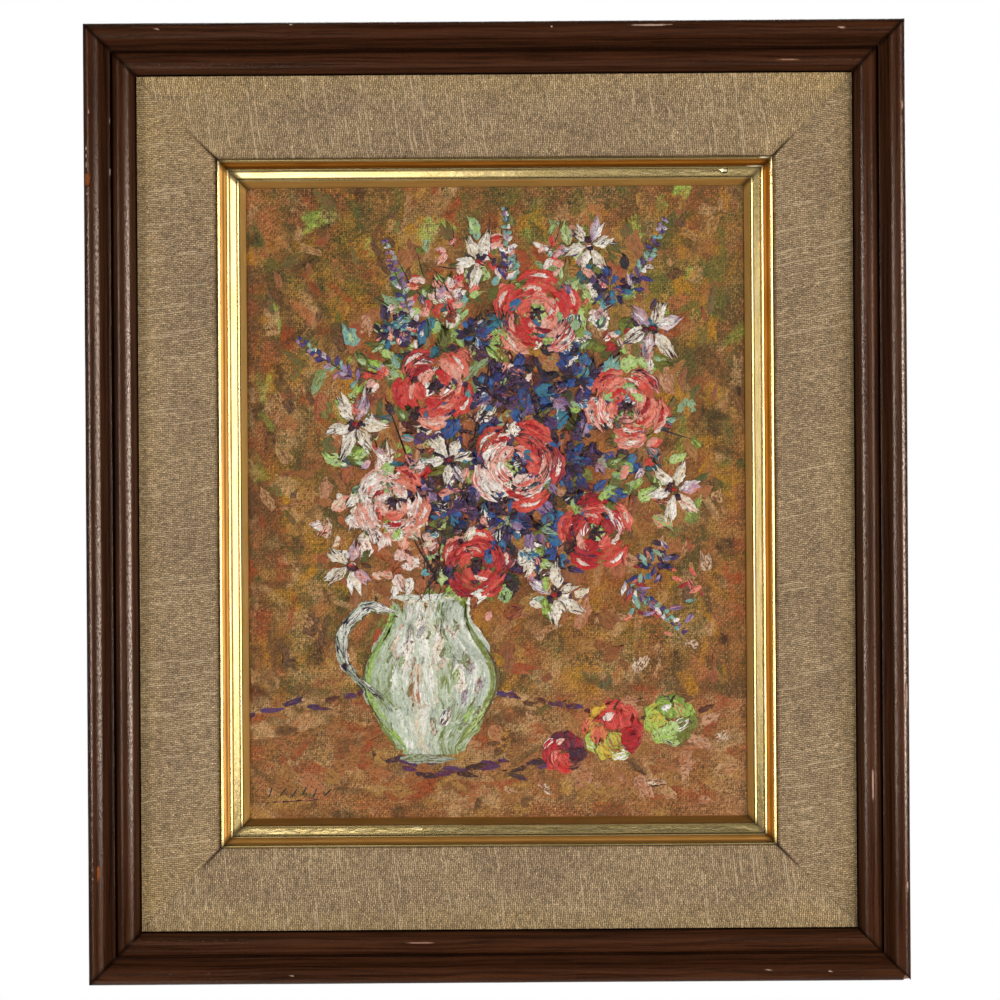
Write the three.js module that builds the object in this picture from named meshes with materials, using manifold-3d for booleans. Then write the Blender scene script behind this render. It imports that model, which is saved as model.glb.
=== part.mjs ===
// A small framed oil painting, made to hang on a wall.
//
// A dark stained wood frame holds a liner covered in linen, the liner holds a gilt slip, and the slip
// holds the board that carries the painting. Each of the three mouldings is four rails mitred at the
// corners. A sawtooth plate on the back of the top rail hangs the picture on a nail.
//
// Millimetres, +Z up, +X to the viewer's right, and the painting faces -Y. The origin is the middle of
// the hanger's raised back face, where it meets the wall.

import * as THREE from "three";
import { mergeVertices } from "three/addons/utils/BufferGeometryUtils.js";
import Module from "manifold-3d";

// ---- Driving dimensions ------------------------------------------------------------------------
// Heights are above the plane of the frame's back, and widths run inwards from a moulding's outer edge.

const INCH = 25.4;
const GAP = 0.3; // clearance between pieces that touch

const BOARD_WIDTH = 8 * INCH;
const BOARD_HEIGHT = 10 * INCH;
const BOARD_THICKNESS = 3.2;
const BOARD_CORNER = 1.6; // radius of the board's corners
const BOARD_EDGE = 0.4; // rounding where the canvas folds over the board's edge
const CANVAS_TURN = 17; // how far the canvas is turned over onto the back
const CANVAS_STEP = 0.5; // how far that turned edge stands above the board's back

const SIGHT_OVERLAP = 6.35; // how far the slip covers the board's edge
const SLIP_FACE = 11; // gilt that shows
const SLIP_FLANGE = 3.7; // slip hidden behind the liner's edge
const LINER_WIDTH = 35.3;
const LINER_SHOWN_SIDE = 29.8; // linen that shows at the left and right
const LINER_SHOWN_END = 31; // linen that shows at the top and bottom
const RAIL_FACE = 20; // wood that shows
const RAIL_REBATE = 6; // width of the rebate behind the wood's inner edge

const RAIL_LIP_BACK = 17;
const LINER_TOP = RAIL_LIP_BACK - GAP;
const LINER_EDGE = 13;
const LINER_LIP_BACK = 9.8;
const LINER_BACK = 3.5;
const SLIP_FLANGE_FRONT = LINER_LIP_BACK - GAP;
const SLIP_LIP_BACK = 10.4;
const SLIP_BACK = 3;
const BOARD_FRONT = SLIP_LIP_BACK - GAP;
const BOARD_BACK = BOARD_FRONT - BOARD_THICKNESS;

// The wood's two beads, the hollow between them and the bevel down to the linen.
const WOOD = {
  shoulder: 20.6,
  outerCrest: { in: 3.1, up: 24 },
  outerFoot: { in: 6.9, up: 21.9 },
  hollow: { in: 8.8, up: 19.8 },
  arris: { in: 10, up: 20.3 },
  quirk: { in: 10.4, up: 19.1, width: 0.5 },
  innerCrest: { in: 14.7, up: 23.1 },
  innerArris: { in: 18, up: 21.4 },
  lipFront: 18.6,
  ease: 0.4, // blunting of the sharp edges
};

// The gilt's members, measured inwards from the edge of the linen.
const GILT = {
  ground: 13.4, // bottom of the grooves
  outerBead: { in: 0, width: 1.2, up: 14.1 },
  cove: { depth: 0.5 },
  middleBead: { in: 3.6, width: 1.1, up: 14.2 },
  band: { in: 5.2, width: 2.1, up: 14 },
  innerBead: { in: 7.6, width: 0.9, up: 14 },
  lipFront: 10.9,
};

const HANGER = {
  length: 44,
  height: 9,
  sheet: 0.9,
  standoff: 2.6, // from the wood to the hanger's back face
  flat: 26, // length of the raised middle
  ramp: 3,
  teeth: 9,
  tooth: 1.4, // depth of a tooth
};

// ---- Sizes that follow -------------------------------------------------------------------------

const grown = (ring, margin) => ({
  halfWidth: ring.halfWidth + margin,
  halfHeight: ring.halfHeight + margin,
});
const board = { halfWidth: BOARD_WIDTH / 2, halfHeight: BOARD_HEIGHT / 2 };
const sight = grown(board, -SIGHT_OVERLAP);
const linerOpening = grown(sight, SLIP_FACE + GAP);

// Half the outer width and height of each ring of rails.
const slip = grown(sight, SLIP_FACE + SLIP_FLANGE);
const liner = grown(linerOpening, LINER_WIDTH);
const frame = {
  halfWidth: linerOpening.halfWidth + LINER_SHOWN_SIDE + RAIL_FACE,
  halfHeight: linerOpening.halfHeight + LINER_SHOWN_END + RAIL_FACE,
};
const railWall = RAIL_FACE - RAIL_REBATE;

// ---- Materials ---------------------------------------------------------------------------------

const finish = (color, roughness, metalness = 0) =>
  new THREE.MeshStandardMaterial({ color, roughness, metalness });
const materials = {
  wood: finish(0x4a2b1d, 0.42),
  linen: finish(0x9a7f5e, 0.95),
  gilt: finish(0xc8963f, 0.28, 0.9),
  painting: finish(0x9a6740, 0.6),
  steel: finish(0x9b9a94, 0.45, 0.9),
};

// ---- Booleans ----------------------------------------------------------------------------------

const wasm = await Module();
wasm.setup();

function solidOf(geometry) {
  const bare = geometry.clone();
  bare.deleteAttribute("normal");
  bare.deleteAttribute("uv");
  const merged = mergeVertices(bare);
  return new wasm.Manifold(
    new wasm.Mesh({
      numProp: 3,
      vertProperties: new Float32Array(merged.attributes.position.array),
      triVerts: new Uint32Array(merged.index.array),
    }),
  );
}

function cut(geometry, tool) {
  const mesh = solidOf(geometry).subtract(solidOf(tool)).getMesh();
  const result = new THREE.BufferGeometry();
  result.setAttribute("position", new THREE.BufferAttribute(mesh.vertProperties, 3));
  result.setIndex(new THREE.BufferAttribute(mesh.triVerts, 1));
  result.computeVertexNormals();
  return result;
}

// ---- Moulding profiles -------------------------------------------------------------------------
// A profile is drawn with x running inwards from the moulding's outer edge and y forwards from the
// plane of the frame's back.

function railProfile() {
  const { shoulder, outerCrest, outerFoot, hollow, arris, quirk, innerCrest, innerArris, ease } = WOOD;
  const quirkEnd = quirk.in + quirk.width;
  const shape = new THREE.Shape();
  shape.moveTo(ease, 0);
  shape.lineTo(0, ease);
  shape.lineTo(0, shoulder);
  shape.bezierCurveTo(0, shoulder + 2, 1.1, outerCrest.up, outerCrest.in, outerCrest.up);
  shape.bezierCurveTo(5, outerCrest.up, 6.2, outerCrest.up - 0.9, outerFoot.in, outerFoot.up);
  shape.bezierCurveTo(7.4, outerFoot.up - 1.4, 7.9, hollow.up, hollow.in, hollow.up);
  shape.quadraticCurveTo(arris.in - 0.4, hollow.up, arris.in, arris.up);
  shape.lineTo(quirk.in, quirk.up);
  shape.lineTo(quirkEnd, quirk.up);
  shape.bezierCurveTo(quirkEnd + 0.1, quirk.up + 2.5, 12.4, innerCrest.up, innerCrest.in, innerCrest.up);
  shape.bezierCurveTo(16.6, innerCrest.up, 17.6, innerArris.up + 1, innerArris.in, innerArris.up);
  shape.lineTo(RAIL_FACE, WOOD.lipFront);
  shape.lineTo(RAIL_FACE, RAIL_LIP_BACK);
  shape.lineTo(railWall, RAIL_LIP_BACK);
  shape.lineTo(railWall, ease);
  shape.lineTo(railWall - ease, 0);
  return shape;
}

// A shallow slope towards the painting that rolls over at its inner edge.
function linerProfile() {
  const roll = 1.7;
  const hidden = LINER_WIDTH - LINER_SHOWN_SIDE;
  const wall = LINER_WIDTH - SLIP_FLANGE;
  const shape = new THREE.Shape();
  shape.moveTo(0, LINER_BACK);
  shape.lineTo(0, LINER_TOP - 0.6);
  shape.quadraticCurveTo(0, LINER_TOP, 0.6, LINER_TOP);
  shape.lineTo(hidden, LINER_TOP);
  shape.lineTo(LINER_WIDTH - roll, LINER_EDGE);
  shape.quadraticCurveTo(LINER_WIDTH, LINER_EDGE - 0.2, LINER_WIDTH, LINER_EDGE - roll);
  shape.lineTo(LINER_WIDTH, LINER_LIP_BACK);
  shape.lineTo(wall, LINER_LIP_BACK);
  shape.lineTo(wall, LINER_BACK);
  return shape;
}

// Three thin beads with a cove, a polished flat band and two grooves between them, and a bevel to the
// painting.
function slipProfile() {
  const { ground, outerBead, cove, middleBead, band, innerBead } = GILT;
  const wall = SLIP_FLANGE + SLIP_FACE - SIGHT_OVERLAP - GAP;
  const coveMiddle = SLIP_FLANGE + (outerBead.width + middleBead.in) / 2;
  const bandStart = SLIP_FLANGE + band.in;
  const shape = new THREE.Shape();
  shape.moveTo(0, SLIP_BACK);
  shape.lineTo(0, SLIP_FLANGE_FRONT);
  shape.lineTo(SLIP_FLANGE, SLIP_FLANGE_FRONT);
  addBead(shape, outerBead);
  shape.quadraticCurveTo(coveMiddle, ground - cove.depth * 2, SLIP_FLANGE + middleBead.in, ground);
  addBead(shape, middleBead);
  shape.lineTo(bandStart, ground);
  shape.lineTo(bandStart, band.up);
  shape.lineTo(bandStart + band.width, band.up);
  shape.lineTo(bandStart + band.width, ground);
  addBead(shape, innerBead);
  shape.lineTo(SLIP_FLANGE + SLIP_FACE, GILT.lipFront);
  shape.lineTo(SLIP_FLANGE + SLIP_FACE, SLIP_LIP_BACK);
  shape.lineTo(wall, SLIP_LIP_BACK);
  shape.lineTo(wall, SLIP_BACK);
  return shape;
}

// A bead that stands on the ground of the gilt, as one curve. Its control points stand a third higher
// than its crest.
function addBead(shape, bead) {
  const start = SLIP_FLANGE + bead.in;
  const end = start + bead.width;
  const pull = GILT.ground + ((bead.up - GILT.ground) * 4) / 3;
  shape.lineTo(start, GILT.ground);
  shape.bezierCurveTo(start, pull, end, pull, end, GILT.ground);
}

// ---- Rails -------------------------------------------------------------------------------------
// A rail is made as the top one: it runs along X, its outer side faces +Z and its front faces -Y.

const SIDES = [
  { name: "top", turn: 0, upright: false },
  { name: "right", turn: Math.PI / 2, upright: true },
  { name: "bottom", turn: Math.PI, upright: false },
  { name: "left", turn: -Math.PI / 2, upright: true },
];

// The profile swept along X, each end cut at 45 degrees and drawn back by half the mitre's gap.
function mitred(profile, halfLength, outerEdge, curveSegments) {
  const geometry = new THREE.ExtrudeGeometry(profile, { depth: 1, curveSegments, bevelEnabled: false });
  const place = geometry.attributes.position;
  for (let i = 0; i < place.count; i++) {
    const inwards = place.getX(i);
    const forwards = place.getY(i);
    const end = place.getZ(i) < 0.5 ? 1 : -1;
    place.setXYZ(i, end * (halfLength - inwards - GAP / Math.SQRT2), -forwards, outerEdge - inwards);
  }
  geometry.computeVertexNormals();
  return geometry;
}

function ringOfRails(label, profile, ring, material, curveSegments) {
  const group = new THREE.Group();
  for (const side of SIDES) {
    const halfLength = side.upright ? ring.halfHeight : ring.halfWidth;
    const outerEdge = side.upright ? ring.halfWidth : ring.halfHeight;
    const rail = new THREE.Mesh(mitred(profile, halfLength, outerEdge, curveSegments), material);
    rail.name = `${label}_${side.name}`;
    rail.rotation.y = side.turn;
    group.add(rail);
  }
  return group;
}

// ---- Canvas board ------------------------------------------------------------------------------

function roundedRectangle(halfWidth, halfHeight, radius) {
  const quarter = Math.PI / 2;
  const right = halfWidth - radius;
  const top = halfHeight - radius;
  const corners = [
    [right, top],
    [-right, top],
    [-right, -top],
    [right, -top],
  ];
  const shape = new THREE.Shape();
  corners.forEach(([x, z], i) => shape.absarc(x, z, radius, i * quarter, (i + 1) * quarter));
  return shape;
}

// A board with its canvas folded over the edges and turned onto the back, which leaves a shallow
// field of bare board in the middle of the back.
function boardGeometry() {
  const outline = roundedRectangle(
    board.halfWidth - BOARD_EDGE,
    board.halfHeight - BOARD_EDGE,
    BOARD_CORNER - BOARD_EDGE,
  );
  const solid = new THREE.ExtrudeGeometry(outline, {
    depth: BOARD_THICKNESS - 2 * BOARD_EDGE,
    bevelThickness: BOARD_EDGE,
    bevelSize: BOARD_EDGE,
    bevelSegments: 2,
    curveSegments: 4,
  })
    .rotateX(Math.PI / 2)
    .translate(0, -BOARD_BACK - BOARD_EDGE, 0);
  const field = new THREE.BoxGeometry(
    BOARD_WIDTH - 2 * CANVAS_TURN,
    CANVAS_STEP * 2,
    BOARD_HEIGHT - 2 * CANVAS_TURN,
  ).translate(0, -BOARD_BACK, 0);
  return cut(solid, field);
}

// ---- Hanger ------------------------------------------------------------------------------------
// Made with its middle at X 0 and Z 0, and the face of the wood at Y 0.

// A strip of sheet with its ends flat on the wood and its middle raised off it.
function stripGeometry() {
  const end = HANGER.length / 2;
  const flat = HANGER.flat / 2;
  const foot = flat + HANGER.ramp;
  const raised = HANGER.standoff - HANGER.sheet;
  const side = new THREE.Shape();
  side.moveTo(-end, GAP);
  side.lineTo(-foot, GAP);
  side.lineTo(-flat, raised);
  side.lineTo(flat, raised);
  side.lineTo(foot, GAP);
  side.lineTo(end, GAP);
  side.lineTo(end, GAP + HANGER.sheet);
  side.lineTo(foot, GAP + HANGER.sheet);
  side.lineTo(flat, HANGER.standoff);
  side.lineTo(-flat, HANGER.standoff);
  side.lineTo(-foot, GAP + HANGER.sheet);
  side.lineTo(-end, GAP + HANGER.sheet);
  const strip = new THREE.ExtrudeGeometry(side, { depth: HANGER.height, bevelEnabled: false });
  return strip.translate(0, 0, -HANGER.height / 2);
}

// The notches between the teeth, as one comb that is taken out of the strip's lower edge.
function notchGeometry() {
  const pitch = (HANGER.flat - 2) / HANGER.teeth;
  const start = (-pitch * HANGER.teeth) / 2;
  const foot = -HANGER.height / 2;
  const below = foot - 1;
  const comb = new THREE.Shape();
  comb.moveTo(start, below);
  comb.lineTo(start, foot);
  for (let i = 0; i < HANGER.teeth; i++) {
    comb.lineTo(start + (i + 0.5) * pitch, foot + HANGER.tooth);
    comb.lineTo(start + (i + 1) * pitch, foot);
  }
  comb.lineTo(-start, below);
  const through = HANGER.standoff * 3;
  const notches = new THREE.ExtrudeGeometry(comb, { depth: through, bevelEnabled: false });
  return notches.rotateX(Math.PI / 2).translate(0, through - HANGER.standoff, 0);
}

// ---- The picture -------------------------------------------------------------------------------

const picture = new THREE.Group();
picture.position.set(0, -HANGER.standoff, railWall / 2 - frame.halfHeight);

picture.add(ringOfRails("frame_rail", railProfile(), frame, materials.wood, 10));
picture.add(ringOfRails("liner_rail", linerProfile(), liner, materials.linen, 6));
picture.add(ringOfRails("gilt_slip", slipProfile(), slip, materials.gilt, 8));

const canvasBoard = new THREE.Mesh(boardGeometry(), materials.painting);
canvasBoard.name = "canvas_board";
picture.add(canvasBoard);

const hanger = new THREE.Mesh(cut(stripGeometry(), notchGeometry()), materials.steel);
hanger.name = "hanger_plate";
hanger.position.z = frame.halfHeight - railWall / 2;
picture.add(hanger);

const root = new THREE.Group();
root.add(picture);
export default root;
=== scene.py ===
"""Finish, paint and studio of a framed oil painting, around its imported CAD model.

Everything is modelled in millimetres in the picture's own frame: x to the right and z up from the
picture's centre, and h forwards from the plane of the frame's back. world() turns that into metres.
"""

import math

import bpy
import numpy as np
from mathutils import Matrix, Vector

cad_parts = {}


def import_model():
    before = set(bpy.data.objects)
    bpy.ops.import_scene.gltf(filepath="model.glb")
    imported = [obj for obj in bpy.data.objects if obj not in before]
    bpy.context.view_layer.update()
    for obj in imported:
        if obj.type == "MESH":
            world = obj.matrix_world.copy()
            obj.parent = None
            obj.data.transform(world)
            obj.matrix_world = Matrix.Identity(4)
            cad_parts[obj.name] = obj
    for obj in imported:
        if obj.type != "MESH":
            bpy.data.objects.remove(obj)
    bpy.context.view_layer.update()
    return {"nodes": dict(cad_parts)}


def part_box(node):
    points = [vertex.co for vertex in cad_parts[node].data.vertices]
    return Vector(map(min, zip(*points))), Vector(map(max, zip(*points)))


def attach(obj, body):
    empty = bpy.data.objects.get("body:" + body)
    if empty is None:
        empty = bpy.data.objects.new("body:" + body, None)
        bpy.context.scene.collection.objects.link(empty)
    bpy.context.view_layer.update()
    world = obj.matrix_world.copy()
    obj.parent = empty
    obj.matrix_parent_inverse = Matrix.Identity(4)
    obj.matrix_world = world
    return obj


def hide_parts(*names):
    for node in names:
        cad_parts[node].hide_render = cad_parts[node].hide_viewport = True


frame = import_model()

# ---- Sizes taken from the CAD model --------------------------------------------------------------

MM = 0.001
RAIL_TOP_LOW, RAIL_TOP_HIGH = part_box("frame_rail_top")
RAIL_BOTTOM_LOW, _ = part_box("frame_rail_bottom")
CENTRE_Z = (RAIL_TOP_HIGH.z + RAIL_BOTTOM_LOW.z) / 2
BACK_Y = RAIL_TOP_HIGH.y
SIDES = {"top": (0, 1), "right": (1, 0), "bottom": (0, -1), "left": (-1, 0)}


def ring(label, corner):
    """Half width and half height of a ring of rails, at its outer (0) or inner (1) edge, in mm."""
    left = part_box(label + "_left")[corner].x
    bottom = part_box(label + "_bottom")[corner].z
    return abs(left) / MM, abs(bottom - CENTRE_Z) / MM


def height_of(y):
    """Height above the frame's back, in mm, of a place in the CAD model's y."""
    return (BACK_Y - y) / MM


def world(x, h, z):
    """Metres in the CAD model's frame, from millimetres in the picture's."""
    x, h, z = np.broadcast_arrays(x, h, z)
    return np.stack([x * MM, BACK_Y - h * MM, CENTRE_Z + z * MM], axis=-1)


FRAME_OUT = ring("frame_rail", 0)
LINER_OUT = ring("liner_rail", 0)
SLIP_OUT = ring("gilt_slip", 0)
SIGHT = ring("gilt_slip", 1)
BOARD_LOW, BOARD_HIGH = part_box("canvas_board")
BOARD_FRONT = height_of(BOARD_LOW.y)
CANVAS_TURN = 17  # width of the canvas turned over onto the back of the board, in mm

# ---- Noise ---------------------------------------------------------------------------------------


def lattice(i, j, seed):
    """A random number in -1..1 for each whole-numbered place."""
    mixed = (i * 374761393 + j * 668265263 + seed * 974634777) & 0xFFFFFFFF
    mixed = ((mixed ^ (mixed >> 13)) * 1274126177) & 0xFFFFFFFF
    return ((mixed ^ (mixed >> 16)) & 0xFFFF) / 32767.5 - 1


def noise(x, y, seed=0):
    """Smooth noise in -1..1, with one bump to each unit of x and y."""
    x, y = np.broadcast_arrays(np.asarray(x, float), np.asarray(y, float))
    i, j = np.floor(x).astype(np.int64), np.floor(y).astype(np.int64)
    fx, fy = x - i, y - j
    fx, fy = fx * fx * (3 - 2 * fx), fy * fy * (3 - 2 * fy)
    low = lattice(i, j, seed) * (1 - fx) + lattice(i + 1, j, seed) * fx
    high = lattice(i, j + 1, seed) * (1 - fx) + lattice(i + 1, j + 1, seed) * fx
    return low * (1 - fy) + high * fy


def fractal(x, y, seed=0, octaves=3):
    total = sum(noise(x * 2**k, y * 2**k, seed + k) / 2**k for k in range(octaves))
    return total / (2 - 2.0 ** (1 - octaves))


def smooth(low, high, value):
    t = np.clip((value - low) / (high - low), 0, 1)
    return t * t * (3 - 2 * t)


def srgb(*values):
    """Linear colour of 0-255 screen values."""
    c = np.array(values, float) / 255
    return np.where(c <= 0.04045, c / 12.92, ((c + 0.055) / 1.055) ** 2.4)


# ---- Meshes --------------------------------------------------------------------------------------


def make_mesh(name, points, faces, materials, slots=None, sharp=None, floats=(), vectors=(), colours=()):
    """An object from world points in metres. The last three are lists of (name, value for each point)."""
    mesh = bpy.data.meshes.new(name)
    mesh.from_pydata(points.reshape(-1, 3).tolist(), [], faces)
    for material in materials:
        mesh.materials.append(material)
    if slots is not None:
        mesh.polygons.foreach_set("material_index", np.asarray(slots, np.int32))
    for label, values in floats:
        made = mesh.attributes.new(label, "FLOAT", "POINT")
        made.data.foreach_set("value", np.ascontiguousarray(values, np.float32).ravel())
    for label, values in vectors:
        made = mesh.attributes.new(label, "FLOAT_VECTOR", "POINT")
        made.data.foreach_set("vector", np.ascontiguousarray(values, np.float32).ravel())
    for label, values in colours:
        values = np.asarray(values, np.float32).reshape(len(mesh.vertices), -1)
        full = np.ones((len(values), 4), np.float32)
        full[:, : values.shape[1]] = values
        made = mesh.attributes.new(label, "FLOAT_COLOR", "POINT")
        made.data.foreach_set("color", full.ravel())
    mesh.polygons.foreach_set("use_smooth", np.ones(len(mesh.polygons), bool))
    if sharp is not None:
        mesh.set_sharp_from_angle(angle=math.radians(sharp))
    mesh.update()
    obj = bpy.data.objects.new(name, mesh)
    bpy.context.scene.collection.objects.link(obj)
    return obj


def grid_faces(rows, columns, wrap=False):
    """Quads of a grid of points stored row by row; wrap joins the last column to the first."""
    i, j = np.meshgrid(np.arange(rows - 1), np.arange(columns if wrap else columns - 1), indexing="ij")
    k = (j + 1) % columns
    a, b = i * columns + j, i * columns + k
    quads = np.stack([a, b, b + columns, a + columns], axis=-1)
    return quads.reshape(-1, 4)


# ---- Material arithmetic -------------------------------------------------------------------------


class Field:
    """A number that a material works out at each point. Arithmetic on it adds Math nodes."""

    def __init__(self, tree, socket):
        self.tree, self.socket = tree, socket

    def math(self, operation, *others):
        node = self.tree.nodes.new("ShaderNodeMath")
        node.operation = operation
        for port, value in zip(node.inputs, (self, *others)):
            if isinstance(value, Field):
                self.tree.links.new(value.socket, port)
            else:
                port.default_value = value
        return Field(self.tree, node.outputs[0])

    def __add__(self, other):
        return self.math("ADD", other)

    def __sub__(self, other):
        return self.math("SUBTRACT", other)

    def __mul__(self, other):
        return self.math("MULTIPLY", other)

    def ramp(self, low, high, out_low=0.0, out_high=1.0):
        """Maps low..high to out_low..out_high, eased and clamped."""
        node = self.tree.nodes.new("ShaderNodeMapRange")
        node.interpolation_type = "SMOOTHSTEP"
        self.tree.links.new(self.socket, node.inputs["Value"])
        for label, value in zip(
            ("From Min", "From Max", "To Min", "To Max"), (low, high, out_low, out_high)
        ):
            node.inputs[label].default_value = value
        return Field(self.tree, node.outputs["Result"])


class Shading:
    """The nodes of a material or of the world, under construction."""

    def __init__(self, tree):
        self.tree = tree

    def node(self, kind, **inputs):
        node = self.tree.nodes.new(kind)
        for label, value in inputs.items():
            port = node.inputs[label.replace("_", " ")]
            if isinstance(value, Field):
                self.tree.links.new(value.socket, port)
            else:
                port.default_value = value
        return node

    def attribute(self, name, output="Fac"):
        node = self.tree.nodes.new("ShaderNodeAttribute")
        node.attribute_name = name
        return Field(self.tree, node.outputs[output])

    def parts(self, vector):
        node = self.tree.nodes.new("ShaderNodeSeparateXYZ")
        self.tree.links.new(vector.socket, node.inputs[0])
        return [Field(self.tree, port) for port in node.outputs]

    def object_place(self):
        """Object coordinates in millimetres, as three fields."""
        node = self.tree.nodes.new("ShaderNodeTexCoord")
        return [part * (1 / MM) for part in self.parts(Field(self.tree, node.outputs["Object"]))]

    def vector(self, x, y, z=0.0):
        node = self.node("ShaderNodeCombineXYZ", X=x, Y=y, Z=z)
        return Field(self.tree, node.outputs[0])

    def noise(self, x, y, z=0.0, detail=2.0, roughness=0.5):
        node = self.node(
            "ShaderNodeTexNoise", Vector=self.vector(x, y, z), Scale=1.0, Detail=detail, Roughness=roughness
        )
        return Field(self.tree, node.outputs["Fac"])

    def random(self, x, y=0.0, z=0.0):
        node = self.node("ShaderNodeTexWhiteNoise", Vector=self.vector(x, y, z))
        return Field(self.tree, node.outputs["Value"])

    def colour(self, value):
        if isinstance(value, Field):
            return value
        node = self.tree.nodes.new("ShaderNodeRGB")
        node.outputs[0].default_value = (*value, 1)
        return Field(self.tree, node.outputs[0])

    def mix(self, factor, low, high, blend="MIX"):
        """Colour between low and high."""
        node = self.tree.nodes.new("ShaderNodeMix")
        node.data_type = "RGBA"
        node.blend_type = blend
        if isinstance(factor, Field):
            self.tree.links.new(factor.socket, node.inputs[0])
        else:
            node.inputs[0].default_value = factor
        self.tree.links.new(self.colour(low).socket, node.inputs[6])
        self.tree.links.new(self.colour(high).socket, node.inputs[7])
        return Field(self.tree, node.outputs[2])

    def shaded(self, colour, brightness):
        """A colour times a number."""
        node = self.tree.nodes.new("ShaderNodeVectorMath")
        node.operation = "SCALE"
        self.tree.links.new(colour.socket, node.inputs[0])
        self.tree.links.new(brightness.socket, node.inputs["Scale"])
        return Field(self.tree, node.outputs[0])


class Finish(Shading):
    """A material around one Principled shader, whose inputs start at the named constants."""

    def __init__(self, name, **constants):
        self.material = bpy.data.materials.new(name)
        self.material.use_nodes = True
        super().__init__(self.material.node_tree)
        self.shader = self.tree.nodes["Principled BSDF"]
        for label, value in constants.items():
            self.shader.inputs[label.replace("_", " ")].default_value = value

    def set(self, label, field):
        self.tree.links.new(field.socket, self.shader.inputs[label])

    def bump(self, height, distance, strength=1.0):
        """Bumps the surface by a height field of 0-1 that stands for that many millimetres."""
        node = self.node("ShaderNodeBump", Height=height, Distance=distance * MM, Strength=strength)
        self.tree.links.new(node.outputs[0], self.shader.inputs["Normal"])


# ---- Materials -----------------------------------------------------------------------------------
# Rails carry their own coordinates in millimetres. "place" is (along the rail, around its section
# from the outer edge, number of the rail).


def stained_wood():
    f = Finish("stained_wood", IOR=1.9, Specular_Tint=(*srgb(255, 232, 214), 1))
    along, across, rail = f.parts(f.attribute("place", "Vector"))
    bend = f.noise(along * 0.02, rail * 7.3, detail=1.0) * 3.0
    streak = f.noise(along * 0.018, (across + bend) * 0.75, rail * 3.1, detail=4.0, roughness=0.6)
    fibre = f.noise(along * 0.09, (across + bend) * 4.2, rail * 1.7, detail=3.0)
    pore = f.noise(along * 0.42, across * 6.5, rail, detail=1.0).ramp(0.6, 0.72)
    brown = f.mix(streak.ramp(0.34, 0.66), srgb(40, 21, 12), srgb(72, 41, 24))
    brown = f.mix(fibre.ramp(0.35, 0.8) * 0.4, brown, srgb(92, 52, 30))
    brown = f.mix(pore * 0.5, brown, srgb(16, 8, 4))
    # Nearly black in the groove, the hollow and down the lip to the linen, as painted shade, and at the
    # mitres, as dirt in the joints.
    brown = f.mix(f.attribute("grime"), brown, srgb(9, 5, 3))
    grain = f.noise(along * 1.4, across * 3.0, detail=3.0).ramp(0.3, 0.7)
    bare = f.mix(grain, srgb(112, 56, 26), srgb(172, 100, 56))
    bare = f.mix(f.attribute("pale"), bare, srgb(214, 200, 186))
    f.set("Base Color", f.mix(f.attribute("bare"), brown, bare))
    dull = f.attribute("bare").math("MAXIMUM", f.attribute("grime"))
    skin = f.noise(along * 1.1, across * 2.9, rail, detail=4.0, roughness=0.75)
    f.set("Roughness", skin.ramp(0.4, 0.65) * 0.18 + dull * 0.4 + 0.1)
    speckle = f.noise(along * 0.7, across * 1.9, rail, detail=4.0, roughness=0.8)
    speckle = speckle.ramp(0.4, 0.58, 0.2, 1.0)
    f.set("Specular IOR Level", (dull * -1.0 + 1.0) * speckle * f.attribute("polish") * 0.62)
    f.bump(skin * 1.0 - pore * 0.6 + fibre * 0.4, 0.07)
    return f.material


def raw_wood(name, pale, dark):
    f = Finish(name, Roughness=0.8)
    along, across, rail = f.parts(f.attribute("place", "Vector"))
    ring_lines = f.noise(along * 0.012, across * 0.9, rail * 5.3, detail=5.0, roughness=0.65)
    fibre = f.noise(along * 0.15, across * 6.0, rail, detail=3.0)
    wood = f.mix(ring_lines.ramp(0.3, 0.7), pale, dark)
    stain = f.noise(along * 0.05, across * 0.12, rail * 2.0, detail=3.0).ramp(0.5, 0.75)
    wood = f.mix(stain * 0.35, wood, srgb(120, 84, 54))
    f.set("Base Color", f.shaded(wood, fibre * 0.5 + 0.72))
    f.bump(fibre, 0.12)
    return f.material


def weave(f, across_threads, along_threads):
    """Height 0-1 of a plain weave, from places counted in threads both ways."""
    number_a = across_threads.math("ROUND")
    number_b = along_threads.math("ROUND")
    crown_a = (across_threads * math.pi).math("COSINE").math("ABSOLUTE")
    crown_b = (along_threads * math.pi).math("COSINE").math("ABSOLUTE")
    lift_a = (number_a * math.pi).math("COSINE") * (along_threads * math.pi).math("COSINE")
    lift_b = (number_b * math.pi).math("COSINE") * (across_threads * math.pi).math("COSINE")
    return crown_a * (lift_a * 0.5 + 0.5) + crown_b * (lift_b * -0.5 + 0.5)


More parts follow.
